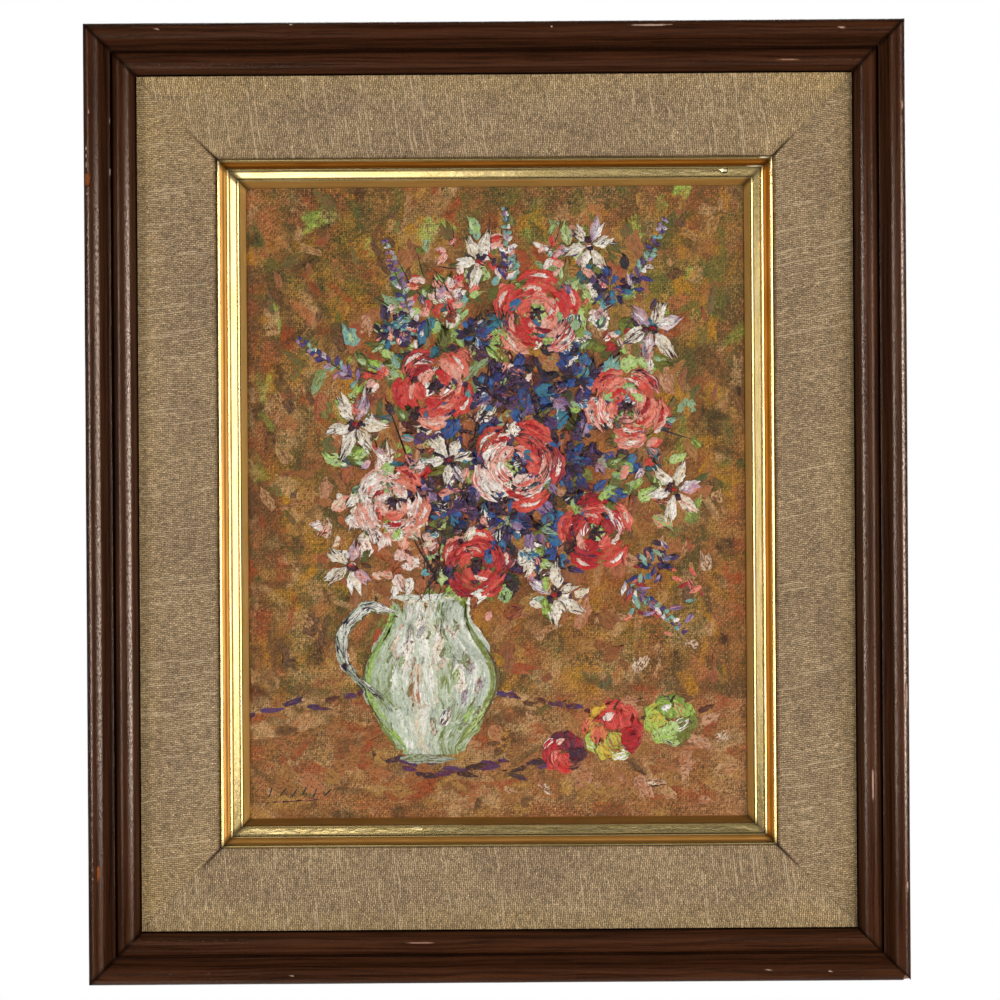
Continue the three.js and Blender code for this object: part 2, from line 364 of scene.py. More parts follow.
def linen():
    thread = 0.72
    f = Finish("linen", Roughness=0.92, Sheen_Weight=0.08, Sheen_Roughness=0.5, Specular_IOR_Level=0.2)
    along, across, rail = f.parts(f.attribute("place", "Vector"))
    drift = f.noise(along * 0.05, across * 0.09, rail * 9.0, detail=2.0) * 2.4
    jitter = f.noise(along * 0.9, across * 0.6, rail * 3.0, detail=2.0) * 1.1
    lean = (rail * 1.9).math("SINE") * -0.03 - 0.09
    cross = (along + across * lean) * (1 / thread) + drift + jitter
    run = across * (1 / thread) + f.noise(along * 0.06, across * 0.2, rail * 2.0) * 1.6 + jitter
    slub_run = (along + across * lean * 1.6) * (0.9 / thread) + drift
    cross_count, run_count, slub_count = (place.math("ROUND") for place in (cross, run, slub_run))
    ridge = (cross * math.pi).math("COSINE").math("ABSOLUTE").math("POWER", 1.6)
    float_over = (run_count * math.pi).math("COSINE") * (cross_count * math.pi).math("COSINE")
    run_ridge = (run * math.pi).math("COSINE").math("ABSOLUTE")
    lumps = f.noise(cross_count * 17.3, across * 0.42, rail, detail=3.0, roughness=0.6)
    lumps = lumps.ramp(0.3, 0.72, 0.65, 1.35)
    knots = f.noise(cross_count * 31.7, across * 1.3, rail, detail=1.0).ramp(0.55, 0.8, 0.0, 0.5)
    run_lumps = f.noise(run_count * 13.1, along * 0.42, rail, detail=2.0).ramp(0.3, 0.7, 0.86, 1.14)
    fleck = f.noise(along * 2.4, across * 1.7, rail, detail=2.0, roughness=0.7)
    fleck = fleck.ramp(0.32, 0.68, 0.7, 1.3)
    # Lighter on the crowns of the threads and darker between them: painted highlight and shade of the
    # weave, on a tone that differs at random.
    cloth = ridge * 0.75 + run_ridge * 0.35 + float_over * 0.1 + 0.17
    # Up to 1.4 times lighter near the outer edge: painted light against the shade under the rail's lip.
    tone = (lumps + knots) * run_lumps * fleck * cloth * (f.attribute("sheltered") * 0.4 + 1.0)
    cloud = f.noise(along * 0.035, across * 0.06, rail * 6.0, detail=3.0).ramp(0.35, 0.68)
    body = f.mix(cloud, srgb(172, 147, 113), srgb(158, 134, 104))
    # Yellower and lighter near the outer edge: partly a yellower tint of the cloth, partly painted light,
    # most on the top and left rails.
    body = f.mix(f.attribute("yellowed"), body, srgb(180, 152, 106))
    cloth_colour = f.shaded(body, tone)
    thick = f.random(slub_count, rail).ramp(0.78, 0.84)
    length = f.noise(slub_count * 7.7, across * 0.09, rail, detail=2.0).ramp(0.46, 0.56)
    slub = thick * length * (slub_run * math.pi).math("COSINE").math("ABSOLUTE").ramp(0.5, 0.9)
    cloth_colour = f.mix(slub * lumps * 0.7, cloth_colour, srgb(204, 182, 148))
    f.set("Base Color", f.mix(f.attribute("seam"), cloth_colour, srgb(58, 36, 22)))
    f.bump(cloth * 0.8 + fleck * 0.5, 0.14)
    return f.material


def gilding():
    """Polished on beads and band, duller in cove and bevel, whose darker gold is partly painted reflection.
    """
    f = Finish("gilding")
    along, across, rail = f.parts(f.attribute("place", "Vector"))
    cloud = f.noise(along * 0.06, across * 0.5, rail * 4.0, detail=3.0).ramp(0.35, 0.7)
    satin = f.attribute("satin")
    bright = f.mix(cloud, srgb(222, 200, 144), srgb(208, 184, 122))
    tan = f.mix(cloud, srgb(224, 182, 108), srgb(214, 170, 96))
    deep = f.mix(cloud, srgb(158, 100, 34), srgb(140, 84, 24))
    # Bright, tan and deep gold by zone; the tan and deep colours are partly painted reflection.
    gold = f.mix(satin.ramp(0.5, 1.0), f.mix(satin.ramp(0.0, 0.5), bright, tan), deep)
    # Darker gold in the grooves between the beads, as painted shade, and at the mitres, as dirt in the
    # joints.
    gold = f.mix(f.attribute("grime"), gold, srgb(60, 38, 14))
    f.set("Base Color", f.mix(f.attribute("bare"), gold, srgb(244, 232, 200)))
    f.set("Metallic", f.attribute("bare").ramp(0.3, 0.7, 1.0, 0.0))
    haze = f.noise(along * 0.25, across * 2.0, rail, detail=4.0, roughness=0.7)
    worn = f.attribute("bare").math("MAXIMUM", f.attribute("grime"))
    f.set("Roughness", haze * 0.08 + worn * 0.35 + satin * 0.46 + 0.08)
    f.bump(f.noise(along * 0.3, across * 0.8, rail, detail=3.0), 0.02)
    return f.material


CANVAS_THREAD = 0.71


def oil_ground():
    """Thin paint on canvas: it catches the tops of the threads, and an under colour shows between."""
    f = Finish("oil_ground", Specular_IOR_Level=0.2)
    x, _, z = f.object_place()
    jitter = f.noise(x * 0.7, z * 0.7, 3.0, detail=2.0) * 1.3
    across = x * (1 / CANVAS_THREAD) + f.noise(x * 0.05, z * 0.05, detail=2.0) * 2.0 + jitter
    run = z * (1 / CANVAS_THREAD) + f.noise(x * 0.05, z * 0.05, 4.0, detail=2.0) * 2.0 + jitter
    cloth = weave(f, across, run)
    speck = f.random(across.math("ROUND"), run.math("ROUND"))
    rubbed = f.noise(x * 0.13, z * 0.13, 8.0, detail=6.0, roughness=0.68)
    grit = f.noise(x * 1.5, z * 0.9, 2.0, detail=3.0, roughness=0.75)
    over, under = f.attribute("paint", "Color"), f.attribute("under", "Color")
    reach = cloth * 0.55 + speck * 0.35 + grit * 1.3 + rubbed * 1.2 + f.attribute("cover") * 0.9
    top = f.mix(reach.ramp(1.45, 2.0), under, over)
    spark = (cloth * 0.6 + speck * 0.6 + grit * 1.4 + rubbed * 0.9).ramp(2.0, 2.45)
    top = f.mix(spark * f.attribute("spark") * 0.7, top, srgb(196, 152, 98))
    dashes = f.noise((x + z) * 0.35, (x - z) * 1.3, 6.0, detail=3.0, roughness=0.7)
    shade = grit.ramp(0.3, 0.7) * 0.5 + dashes.ramp(0.34, 0.66) * 0.65 + cloth * 0.2 + 0.28
    f.set("Base Color", f.shaded(top, shade))
    f.set("Roughness", grit * 0.25 + 0.45)
    f.bump(cloth * 0.7 + grit * 0.9, 0.16)
    return f.material


def oil_paint():
    """Thick paint. The mesh gives each stroke two colours and its own coordinates in millimetres."""
    f = Finish("oil_paint", Specular_IOR_Level=0.35)
    s, t, stroke = f.parts(f.attribute("bristle", "Vector"))
    streak = f.noise(s * 0.22, t * 1.9, stroke * 3.7, detail=2.0, roughness=0.6)
    gap = f.noise(s * 0.7, t * 1.5, stroke * 1.9, detail=3.0, roughness=0.7)
    grit = f.noise(s * 2.2, t * 2.2, stroke, detail=2.0)
    paint = f.mix(streak.ramp(0.5, 0.6), f.attribute("paint", "Color"), f.attribute("second", "Color"))
    dry = f.attribute("dry")
    paint = f.mix((gap + dry * 0.1).ramp(0.64, 0.7), paint, srgb(128, 84, 46))
    x, _, z = f.object_place()
    scar = f.noise(x * 0.9, z * 0.7, 1.0, detail=6.0, roughness=0.78)
    paint = f.mix(scar.ramp(0.57, 0.64) * dry.ramp(0.1, 0.6), paint, srgb(62, 34, 34))
    shade = grit * 0.4 + streak * 0.3 + scar.ramp(0.35, 0.6) * -0.3 + 0.84
    f.set("Base Color", f.shaded(paint, shade))
    f.set("Roughness", gap * 0.3 + 0.26)
    f.bump(streak * 1.1 + grit * 0.5 - gap.ramp(0.56, 0.64) * 0.5, 0.24)
    return f.material


def board_back(half_width, half_height, turn):
    """Canvas turned over onto the back of the board, around a field of grey card."""
    f = Finish("board_back", Roughness=0.9)
    x, _, z = f.object_place()
    z = z - CENTRE_Z / MM
    frayed = f.noise(x * 1.2, z * 1.2, detail=3.0) * 1.2
    edge_x = x.math("ABSOLUTE") + frayed - (half_width - turn)
    edge_z = z.math("ABSOLUTE") + frayed - (half_height - turn)
    turned = edge_x.math("MAXIMUM", edge_z).ramp(0.5, 0.8)
    cloth = weave(f, x * (1 / CANVAS_THREAD), z * (1 / CANVAS_THREAD))
    stain = f.noise(x * 0.03, z * 0.03, detail=5.0, roughness=0.6)
    # The turned canvas is lighter on its thread crowns and darker between them, as painted shade of the
    # weave.
    canvas = f.shaded(f.mix(stain, srgb(206, 190, 160), srgb(176, 154, 120)), cloth * 0.5 + 0.66)
    speckle = f.noise(x * 1.4, z * 1.4, 3.0, detail=4.0, roughness=0.75)
    card = f.mix(stain.ramp(0.3, 0.7), srgb(150, 143, 130), srgb(122, 113, 100))
    card = f.shaded(card, speckle * 0.5 + 0.75)
    f.set("Base Color", f.mix(turned, card, canvas))
    f.bump(f.mix(turned, f.vector(speckle, speckle, speckle), f.vector(cloth, cloth, cloth)), 0.15)
    return f.material


def zinc():
    f = Finish("zinc_plate", Metallic=1.0)
    x, _, z = f.object_place()
    brushed = f.noise(x * 0.4, z * 5.0, detail=3.0)
    bloom = f.noise(x * 0.3, z * 0.3, 2.0, detail=4.0, roughness=0.6)
    metal = f.mix(bloom.ramp(0.35, 0.7), srgb(188, 186, 176), srgb(150, 146, 132))
    f.set("Base Color", metal)
    f.set("Roughness", brushed * 0.25 + bloom * 0.2 + 0.2)
    f.bump(brushed, 0.03)
    return f.material


# ---- Mouldings -----------------------------------------------------------------------------------
# A section is a closed run of (inwards from the outer edge, height) points, as in the CAD model but
# in finer steps. front counts the points that belong to the finished front, which come first.


def line(points, x, y, step=0.5):
    x0, y0 = points[-1]
    count = max(1, round(math.hypot(x - x0, y - y0) / step))
    points += [(x0 + (x - x0) * k / count, y0 + (y - y0) * k / count) for k in range(1, count + 1)]


def curve(points, *controls, step=0.5):
    """A quadratic or cubic Bezier from the last point."""
    control = np.array([points[-1], *controls], float)
    order = len(control) - 1
    reach = np.linalg.norm(np.diff(control, axis=0), axis=1).sum()
    count = max(3, round(reach / step))
    for t in np.arange(1, count + 1) / count:
        weights = [math.comb(order, k) * t**k * (1 - t) ** (order - k) for k in range(order + 1)]
        points.append(tuple(weights @ control))


def rail_section():
    face, lip_back, wall, ease = 20, 17, 14, 0.4
    points = [(0.0, ease)]
    line(points, 0, 20.6, step=1.5)
    curve(points, (0, 22.6), (1.1, 24), (3.1, 24), step=0.35)
    curve(points, (5, 24), (6.2, 23.1), (6.9, 21.9), step=0.35)
    curve(points, (7.4, 20.5), (7.9, 19.8), (8.8, 19.8), step=0.35)
    curve(points, (9.5, 19.8), (9.85, 20.25), step=0.3)
    curve(points, (10, 20.4), (10.12, 20.1), step=0.1)
    line(points, 10.4, 19.1, step=0.4)
    line(points, 10.9, 19.1, step=0.25)
    curve(points, (11, 21.6), (12.4, 23.1), (14.7, 23.1), step=0.35)
    curve(points, (16.6, 23.1), (17.6, 22.4), (17.95, 21.6), step=0.35)
    curve(points, (18.05, 21.4), (18.2, 21.1), step=0.15)
    line(points, face - 0.15, 18.75, step=0.45)
    curve(points, (face, 18.6), (face, 18.4), step=0.15)
    line(points, face, lip_back, step=0.8)
    front = len(points)
    line(points, wall, lip_back, step=3)
    line(points, wall, ease, step=4)
    line(points, wall - ease, 0, step=1)
    line(points, ease, 0, step=3)
    return np.array(points), front


def liner_section():
    """The linen wraps over the front and down both edges; the wood shows behind."""
    width, top, roll, lip_back, back, wall = 35.3, 16.7, 1.7, 9.8, 3.5, 31.6
    points = [(0.0, back)]
    line(points, 0, top - 0.6, step=4)
    curve(points, (0, top), (0.6, top))
    line(points, 4.3, top, step=1.2)
    line(points, width - roll, 13, step=0.95)
    curve(points, (width, 12.8), (width, 11.3), step=0.4)
    line(points, width, lip_back, step=0.8)
    front = len(points)
    line(points, wall, lip_back, step=4)
    line(points, wall, back, step=4)
    line(points, 0, back, step=8)
    return np.array(points[:-1]), front


def slip_section():
    flange, face, ground, wall = 3.7, 11, 13.4, 8.05

    def bead(start, width, top):
        pull = ground + (top - ground) * 4 / 3
        line(points, flange + start, ground, step=0.4)
        ends = (flange + start, pull), (flange + start + width, pull), (flange + start + width, ground)
        curve(points, *ends, step=0.14)

    points = [(0.0, 3.0)]
    line(points, 0, 9.5, step=4)
    line(points, flange, 9.5, step=2)
    bead(0, 1.2, 14.1)
    curve(points, (flange + 2.4, ground - 1), (flange + 3.6, ground), step=0.2)
    bead(3.6, 1.1, 14.2)
    line(points, flange + 5.2, ground, step=0.4)
    line(points, flange + 5.2, 13.94, step=0.3)
    line(points, flange + 5.26, 14, step=0.1)
    line(points, flange + 7.24, 14, step=0.5)
    line(points, flange + 7.3, 13.94, step=0.1)
    line(points, flange + 7.3, ground, step=0.3)
    bead(7.6, 0.9, 14)
    line(points, flange + face - 0.1, 11, step=0.5)
    line(points, flange + face, 10.85, step=0.1)
    line(points, flange + face, 10.4, step=0.3)
    front = len(points)
    line(points, wall, 10.4, step=3)
    line(points, wall, 3, step=4)
    line(points, 0, 3, step=4)
    return np.array(points[:-1]), front


class Rail:
    """A mitred length of moulding as grids: along the rail, across from its outer edge, and height."""

    def __init__(self, side, outer, section, front, step, gap, wear=()):
        self.side = side
        self.front = front
        self.shown = np.arange(len(section)) < front
        out_x, out_z = SIDES[side]
        self.out = np.array([out_x, out_z], float)
        self.run = np.array([out_z, -out_x], float)
        self.outer, self.half = outer if out_x else outer[::-1]
        self.marks = [mark[1:] for mark in wear if mark[0] == side]
        stations = stations_for(self.half, step, [(m[0], m[2] + 0.8) for m in self.marks])
        self.across = np.broadcast_to(section[:, 0], (len(stations), len(section))).copy()
        self.height = np.broadcast_to(section[:, 1], self.across.shape).copy()
        share = stations[:, None] / self.half
        self.along = share * (self.half - self.across - gap / math.sqrt(2))
        step = np.diff(section, axis=0, append=section[:1])
        girth = np.concatenate([[0], np.cumsum(np.hypot(step[:, 0], step[:, 1]))[:-1]])
        self.girth = np.broadcast_to(girth, self.across.shape)
        tangent = np.roll(section, -1, axis=0) - np.roll(section, 1, axis=0)
        tangent /= np.linalg.norm(tangent, axis=1)[:, None] + 1e-9
        self.normal = np.stack([-tangent[:, 1], tangent[:, 0]], axis=-1)
        self.number = float(list(SIDES).index(side))

    def to_mitre(self):
        """Distance from each point to the nearer mitred end, in mm."""
        return self.half - self.across - np.abs(self.along)

    def push(self, amount):
        """Moves the surface out along the section's normal, in mm."""
        self.across += self.normal[:, 0] * amount
        self.height += self.normal[:, 1] * amount

    def points(self):
        reach = self.outer - self.across
        x = self.out[0] * reach + self.run[0] * self.along
        z = self.out[1] * reach + self.run[1] * self.along
        return world(x, self.height, z)

    def object(self, name, materials, sharp, floats):
        rows, columns = self.across.shape
        sides = grid_faces(rows, columns, wrap=True)
        ends = [list(range(columns))[::-1], [(rows - 1) * columns + k for k in range(columns)]]
        behind = np.arange(columns) >= self.front - 1
        slots = np.concatenate([np.tile(behind, rows - 1), [True, True]]).astype(int)
        place = np.stack([self.along, self.girth, np.full_like(self.along, self.number)], axis=-1)
        faces = sides.tolist() + ends
        label = f"{name}_{self.side}"
        vectors = [("place", place)]
        return make_mesh(label, self.points(), faces, materials, slots, sharp, floats, vectors)


def stations_for(half, step, marks=()):
    """Places along a rail of that half length, closer together around its marks."""
    base = np.linspace(-half, half, round(2 * half / step) + 1)
    fine = [np.arange(m - r, m + r, 0.3) for m, r in marks]
    inner = np.sort(np.concatenate([base, *fine]))
    inner = inner[np.abs(inner) < half - 0.2]
    inner = inner[np.concatenate([[True], np.diff(inner) > 0.12])]
    return np.concatenate([[-half], inner, [half]])


# Wear on the wood: side, along (clockwise from the rail's middle), across, half length and half
# width in mm, depth, and how pale it is: 0 is bare wood and 1 is a whitish knock in the lacquer.
WOOD_WEAR = [
    ("left", 123.5, 1.5, 2.9, 1.25, 0.3, 0.0),
    ("left", 129.0, 1.3, 1.2, 0.3, 0.1, 0.5),
    ("left", 132.5, 1.2, 0.8, 0.3, 0.1, 0.6),
    ("left", 135.2, 1.2, 0.6, 0.35, 0.1, 0.7),
    ("left", 149.0, 2.3, 0.5, 0.3, 0.1, 0.8),
    ("left", 118.0, 1.6, 0.6, 0.3, 0.1, 0.6),
    ("left", -140.0, 4.2, 3.2, 0.6, 0.06, 0.0),
    ("left", 146.0, 9.9, 0.7, 0.35, 0.1, 0.8),
    ("left", 126.5, 10.0, 1.5, 0.35, 0.1, 0.8),
    ("top", 60.0, 2.2, 8.5, 0.35, 0.04, 0.6),
    ("top", 111.5, 15.6, 4.2, 0.35, 0.1, 0.3),
    ("top", -127.8, 2.6, 0.5, 0.35, 0.1, 0.9),
    ("top", -77.0, 1.1, 0.7, 0.3, 0.1, 0.9),
    ("top", 22.0, 2.6, 0.45, 0.3, 0.12, 0.8),
    ("top", 132.0, 3.6, 1.6, 0.3, 0.08, 0.5),
    ("right", 74.5, 1.2, 5.6, 0.5, 0.15, 0.35),
    ("right", 108.0, 14.2, 7.0, 0.28, 0.05, 0.5),
    ("right", 146.5, 1.3, 1.6, 0.4, 0.1, 0.5),
    ("right", -150.0, 1.4, 2.0, 0.4, 0.1, 0.4),
    ("bottom", 78.6, 3.4, 0.4, 0.32, 0.1, 1.0),
    ("bottom", 105.5, 3.2, 0.5, 0.3, 0.1, 0.9),
    ("bottom", -87.0, 3.8, 0.5, 0.35, 0.12, 0.9),
    ("bottom", -102.0, 4.6, 0.45, 0.3, 0.1, 0.9),
    ("bottom", -127.4, 8.2, 0.5, 0.4, 0.12, 1.0),
    ("bottom", -125.4, 4.0, 0.8, 0.3, 0.1, 0.8),
    ("bottom", 30.0, 15.6, 5.0, 0.3, 0.04, 0.4),
    ("bottom", -155.0, 1.0, 1.8, 1.8, 0.6, 0.3),
]


# How rubbed and shiny the lacquer is: pairs of (across the moulding in mm, polish), and then a factor
# for each side's rail, first within SHINE_EDGE of its outer edge and then elsewhere.
POLISH = np.array(
    [(0.02, 0.04), (0.15, 0.3), (0.4, 1), (1.9, 1), (2.3, 0.1), (3.6, 0.1), (4.0, 0.8), (5.6, 0.8),
     (6.1, 0.05), (9.4, 0.05), (9.8, 1.4), (10.2, 0.1), (12.5, 0.08), (13.1, 0.45), (13.6, 0.08),
     (15.3, 0.1), (15.7, 1.1), (17.3, 1.1), (17.8, 0.2), (20, 0.15)]
)
SHINE = {"left": (0.9, 1.0), "right": (1.6, 0.7), "top": (0.6, 0.6), "bottom": (0.5, 0.5)}
SHINE_EDGE = 2.2


WORN_ABOVE = 12  # height in mm that wear keeps above, so that it stays on the front


def wear_mask(rail):
    """How far each point lies inside the rail's marks, 0-1, how deep they go there, and how pale."""
    mask = np.zeros_like(rail.along)
    depth = np.zeros_like(rail.along)
    paleness = np.zeros_like(rail.along)
    for along, across, long, wide, deep, pale in rail.marks:
        ragged = 0.28 * fractal(rail.along * 1.1 + along, rail.across * 2.0, 5)
        reach = np.hypot((rail.along - along) / long, (rail.across - across) / wide) + ragged
        inside = smooth(1.05, 0.7, reach) * (rail.height > WORN_ABOVE)
        mask = np.maximum(mask, inside)
        depth = np.maximum(depth, inside * deep)
        paleness = np.where(inside > 0, pale, paleness)
    return mask, depth, paleness


def wood_rails(section, front):
    made = []
    wood = stained_wood()
    back = raw_wood("raw_frame_wood", srgb(196, 150, 104), srgb(158, 112, 72))
    for side in SIDES:
        rail = Rail(side, FRAME_OUT, section, front, step=1.9, gap=0.08, wear=WOOD_WEAR)
        mask, depth, pale = wear_mask(rail)
        seed = 10 * int(rail.number)
        sway = 0.05 * fractal(rail.along / 34, rail.girth / 9, seed)
        scrape = 0.025 * fractal(rail.along / 3.0, rail.girth / 1.2, seed + 5)
        rail.push((sway + scrape) * rail.shown - depth - 0.04)
        # Darkening as painted shade in the quirk, the hollow and down the lip, and as dirt in the mitre
        # joints.
        quirk = 0.6 * smooth(0.9, 0.25, np.abs(rail.across - 10.75))
        hollow = 0.3 * smooth(1.6, 0.3, np.abs(rail.across - 8.7))
        lip = smooth(18.9, 19.9, rail.across)
        mitre = smooth(0.9, 0.1, rail.to_mitre())
        grime = np.clip(np.maximum.reduce([quirk, hollow, lip, 0.8 * mitre]), 0, 1) * rail.shown
        if rail.out[0]:
            rubbed = 0.25 + 0.75 * smooth(rail.half - 18, rail.half - 95, np.abs(rail.along))
        else:
            rubbed = 0.35 + 0.65 * smooth(20, 130, -rail.run[0] * rail.along)
        shine = np.where(rail.across < SHINE_EDGE, *SHINE[side])
        polish = np.interp(rail.across, POLISH[:, 0], POLISH[:, 1]) * shine * rubbed
        floats = [("bare", mask), ("pale", pale), ("grime", grime * (1 - mask)), ("polish", polish)]
        made.append(rail.object("stained_rail", [wood, back], 35, floats))
    return made


def linen_rails(section, front):
    made = []
    cloth = linen()
    back = raw_wood("raw_liner_wood", srgb(214, 182, 138), srgb(186, 148, 104))
    for side in SIDES:
        rail = Rail(side, LINER_OUT, section, front, step=1.6, gap=0.02)
        seed = 40 + 10 * int(rail.number)
        end = rail.to_mitre()
        opened = smooth(24, 33, rail.across)
        crack = smooth(0.12 + 0.4 * opened, 0.02, end + 0.12 * noise(rail.across * 1.5, seed, 3))
        seam = crack * np.maximum(opened, 0.12 + 0.3 * noise(rail.across / 2.2, 1, seed))
        tuck = smooth(1.6, 0.0, end)
        fuzz = 0.12 * noise(rail.along * 2.2, rail.across * 2.2, seed + 7) * smooth(3.0, 0.3, end)
        sway = 0.12 * fractal(rail.along / 30, rail.across / 14, seed + 2)
        edge = 0.22 * smooth(34.6, 35.2, rail.across)
        rail.push((sway + fuzz - 0.35 * tuck * opened + edge - 0.12) * rail.shown)
        # A yellower tint near the outer edge, and painted light that lightens the top and left rails
        # towards their corners.
        yellowed = 0.55 * smooth(17, 5, rail.across + 4 * fractal(rail.along / 14, rail.across / 9, seed))
        corner = smooth(60, 8, end + rail.across * 0.6) * {"top": 0.45, "left": 0.5}.get(side, 0.1)
        yellowed = np.clip(yellowed + corner, 0, 1)
        # Lighter within 2.6 mm of the outer edge, as painted light where the rail's lip shades the linen.
        sheltered = smooth(2.6, 0.2, rail.across)
        floats = [("seam", np.clip(seam, 0, 1)), ("yellowed", yellowed), ("sheltered", sheltered)]
        made.append(rail.object("linen_rail", [cloth, back], 50, floats))
    return made


# Chips in the gilding, as in WOOD_WEAR.
GILT_WEAR = [
    ("top", 88.0, 9.2, 0.9, 0.7, 0.25, 1.0),
    ("top", 99.5, 7.6, 3.4, 0.35, 0.12, 1.0),
    ("top", 103.0, 4.4, 0.9, 0.4, 0.15, 1.0),
    ("right", -126.0, 4.3, 1.2, 0.5, 0.15, 1.0),
    ("right", -121.5, 4.2, 0.7, 0.3, 0.1, 1.0),
    ("left", 128.0, 4.2, 0.7, 0.3, 0.1, 1.0),
    ("bottom", 72.0, 8.9, 0.5, 0.4, 0.1, 1.0),
    ("bottom", 31.0, 10.9, 1.4, 0.25, 0.06, 1.0),
]


# Cove and bevel colour per side, 0.5 tan to 1 deep orange brown: duller gold, with painted reflection.
SATIN_AND_REFLECTION = {"left": (0.82, 0.48), "right": (1.0, 0.64), "top": (0.97, 0.7), "bottom": (0.8, 0.6)}


def gilt_rails(section, front):
    made = []
    gold = gilding()
    back = raw_wood("raw_slip_wood", srgb(208, 176, 132), srgb(178, 140, 96))
    for side in SIDES:
        rail = Rail(side, SLIP_OUT, section, front, step=3.0, gap=0.1, wear=GILT_WEAR)
        mask, depth, _ = wear_mask(rail)
        seed = 90 + 10 * int(rail.number)
        sway = 0.03 * fractal(rail.along / 26, rail.girth / 8, seed)
        rail.push((sway - 0.03) * rail.shown - depth)
        # The grooves between the beads darken as painted shade; the mitre joints darken as dirt.
        groove = smooth(13.72, 13.42, rail.height) * (rail.across > 8.3) * (rail.across < 11.6)
        mitre = smooth(0.7, 0.1, rail.to_mitre())
        grime = np.maximum(0.4 * groove, 0.8 * mitre) * rail.shown
        # Cove and bevel take their side's colour, which is partly painted reflection.
        cove = (rail.across > 4.95) * (rail.across < 7.25) * SATIN_AND_REFLECTION[side][0]
        bevel = (rail.across > 12.3) * SATIN_AND_REFLECTION[side][1]
        floats = [("bare", mask), ("grime", grime * (1 - mask)), ("satin", cove + bevel)]
        made.append(rail.object("gilt_rail", [gold, back], 28, floats))
    return made


def ride_for(pieces, label):
    for piece in pieces:
        side = piece.name.rsplit("_", 1)[1]
        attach(piece, "root")
        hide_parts(f"{label}_{side}")


ride_for(wood_rails(*rail_section()), "frame_rail")
ride_for(linen_rails(*liner_section()), "liner_rail")
ride_for(gilt_rails(*slip_section()), "gilt_slip")


# ---- Oil paint -----------------------------------------------------------------------------------
# Angles are in degrees, anticlockwise from the picture's right.

PAINTS = {
    "umber": srgb(92, 66, 36),
    "burnt_umber": srgb(64, 40, 22),
    "burnt_sienna": srgb(134, 76, 42),
    "sienna": srgb(150, 100, 52),
    "terracotta": srgb(168, 102, 60),
    "rust": srgb(152, 68, 32),
    "ochre": srgb(170, 126, 62),
    "gold_ochre": srgb(176, 122, 28),
    "tan": srgb(184, 144, 98),
    "pink_tan": srgb(192, 144, 112),
    "olive": srgb(104, 98, 42),
    "moss": srgb(78, 84, 40),
    "sap": srgb(116, 128, 48),
    "lime": srgb(156, 190, 84),
    "pale_lime": srgb(186, 206, 140),
    "sage": srgb(146, 176, 142),
    "teal": srgb(56, 122, 140),
    "sea": srgb(112, 168, 168),
    "dark_green": srgb(38, 52, 32),
    "coral": srgb(214, 92, 76),
    "salmon": srgb(228, 140, 118),
    "pink": srgb(228, 176, 160),
    "red": srgb(196, 40, 42),
    "crimson": srgb(148, 26, 38),
    "maroon": srgb(84, 26, 34),
    "white": srgb(240, 236, 228),
    "cream": srgb(222, 206, 178),
    "lilac": srgb(166, 138, 170),
    "violet": srgb(84, 58, 112),
    "plum": srgb(56, 36, 62),
    "ultramarine": srgb(36, 56, 122),
    "cobalt": srgb(48, 98, 158),
    "night": srgb(26, 26, 48),
    "black": srgb(24, 18, 22),
    "celadon": srgb(196, 206, 184),
    "celadon_shade": srgb(154, 170, 134),
    "grey_green": srgb(176, 184, 170),
    "yellow": srgb(212, 172, 58),
}


def tones(names):
    return np.array([PAINTS[name] for name in names.split()])


def heading(angle):
    return np.array([math.cos(math.radians(angle)), math.sin(math.radians(angle))])


def bowed(start, angle, length, bend=0.0, count=9):
    """Points along a stroke that starts at that angle and turns by bend degrees on its way."""
    turns = np.radians(angle + bend * (np.arange(count) + 0.5) / count)
    steps = np.stack([np.cos(turns), np.sin(turns)], axis=-1) * length / count
    return np.concatenate([[start], np.array(start) + np.cumsum(steps, axis=0)])


def drifting(chosen, drift):
    """Colours that run through the chosen ones as drift goes from 0 to 1."""
    at = np.clip(drift, 0, 1) * (len(chosen) - 1)
    k = np.minimum(at.astype(int), max(len(chosen) - 2, 0))
    share = (at - k)[..., None]
    return chosen[k] * (1 - share) + chosen[np.minimum(k + 1, len(chosen) - 1)] * share


BACKDROP = "background_strokes"  # the group of strokes behind the jug and the flowers


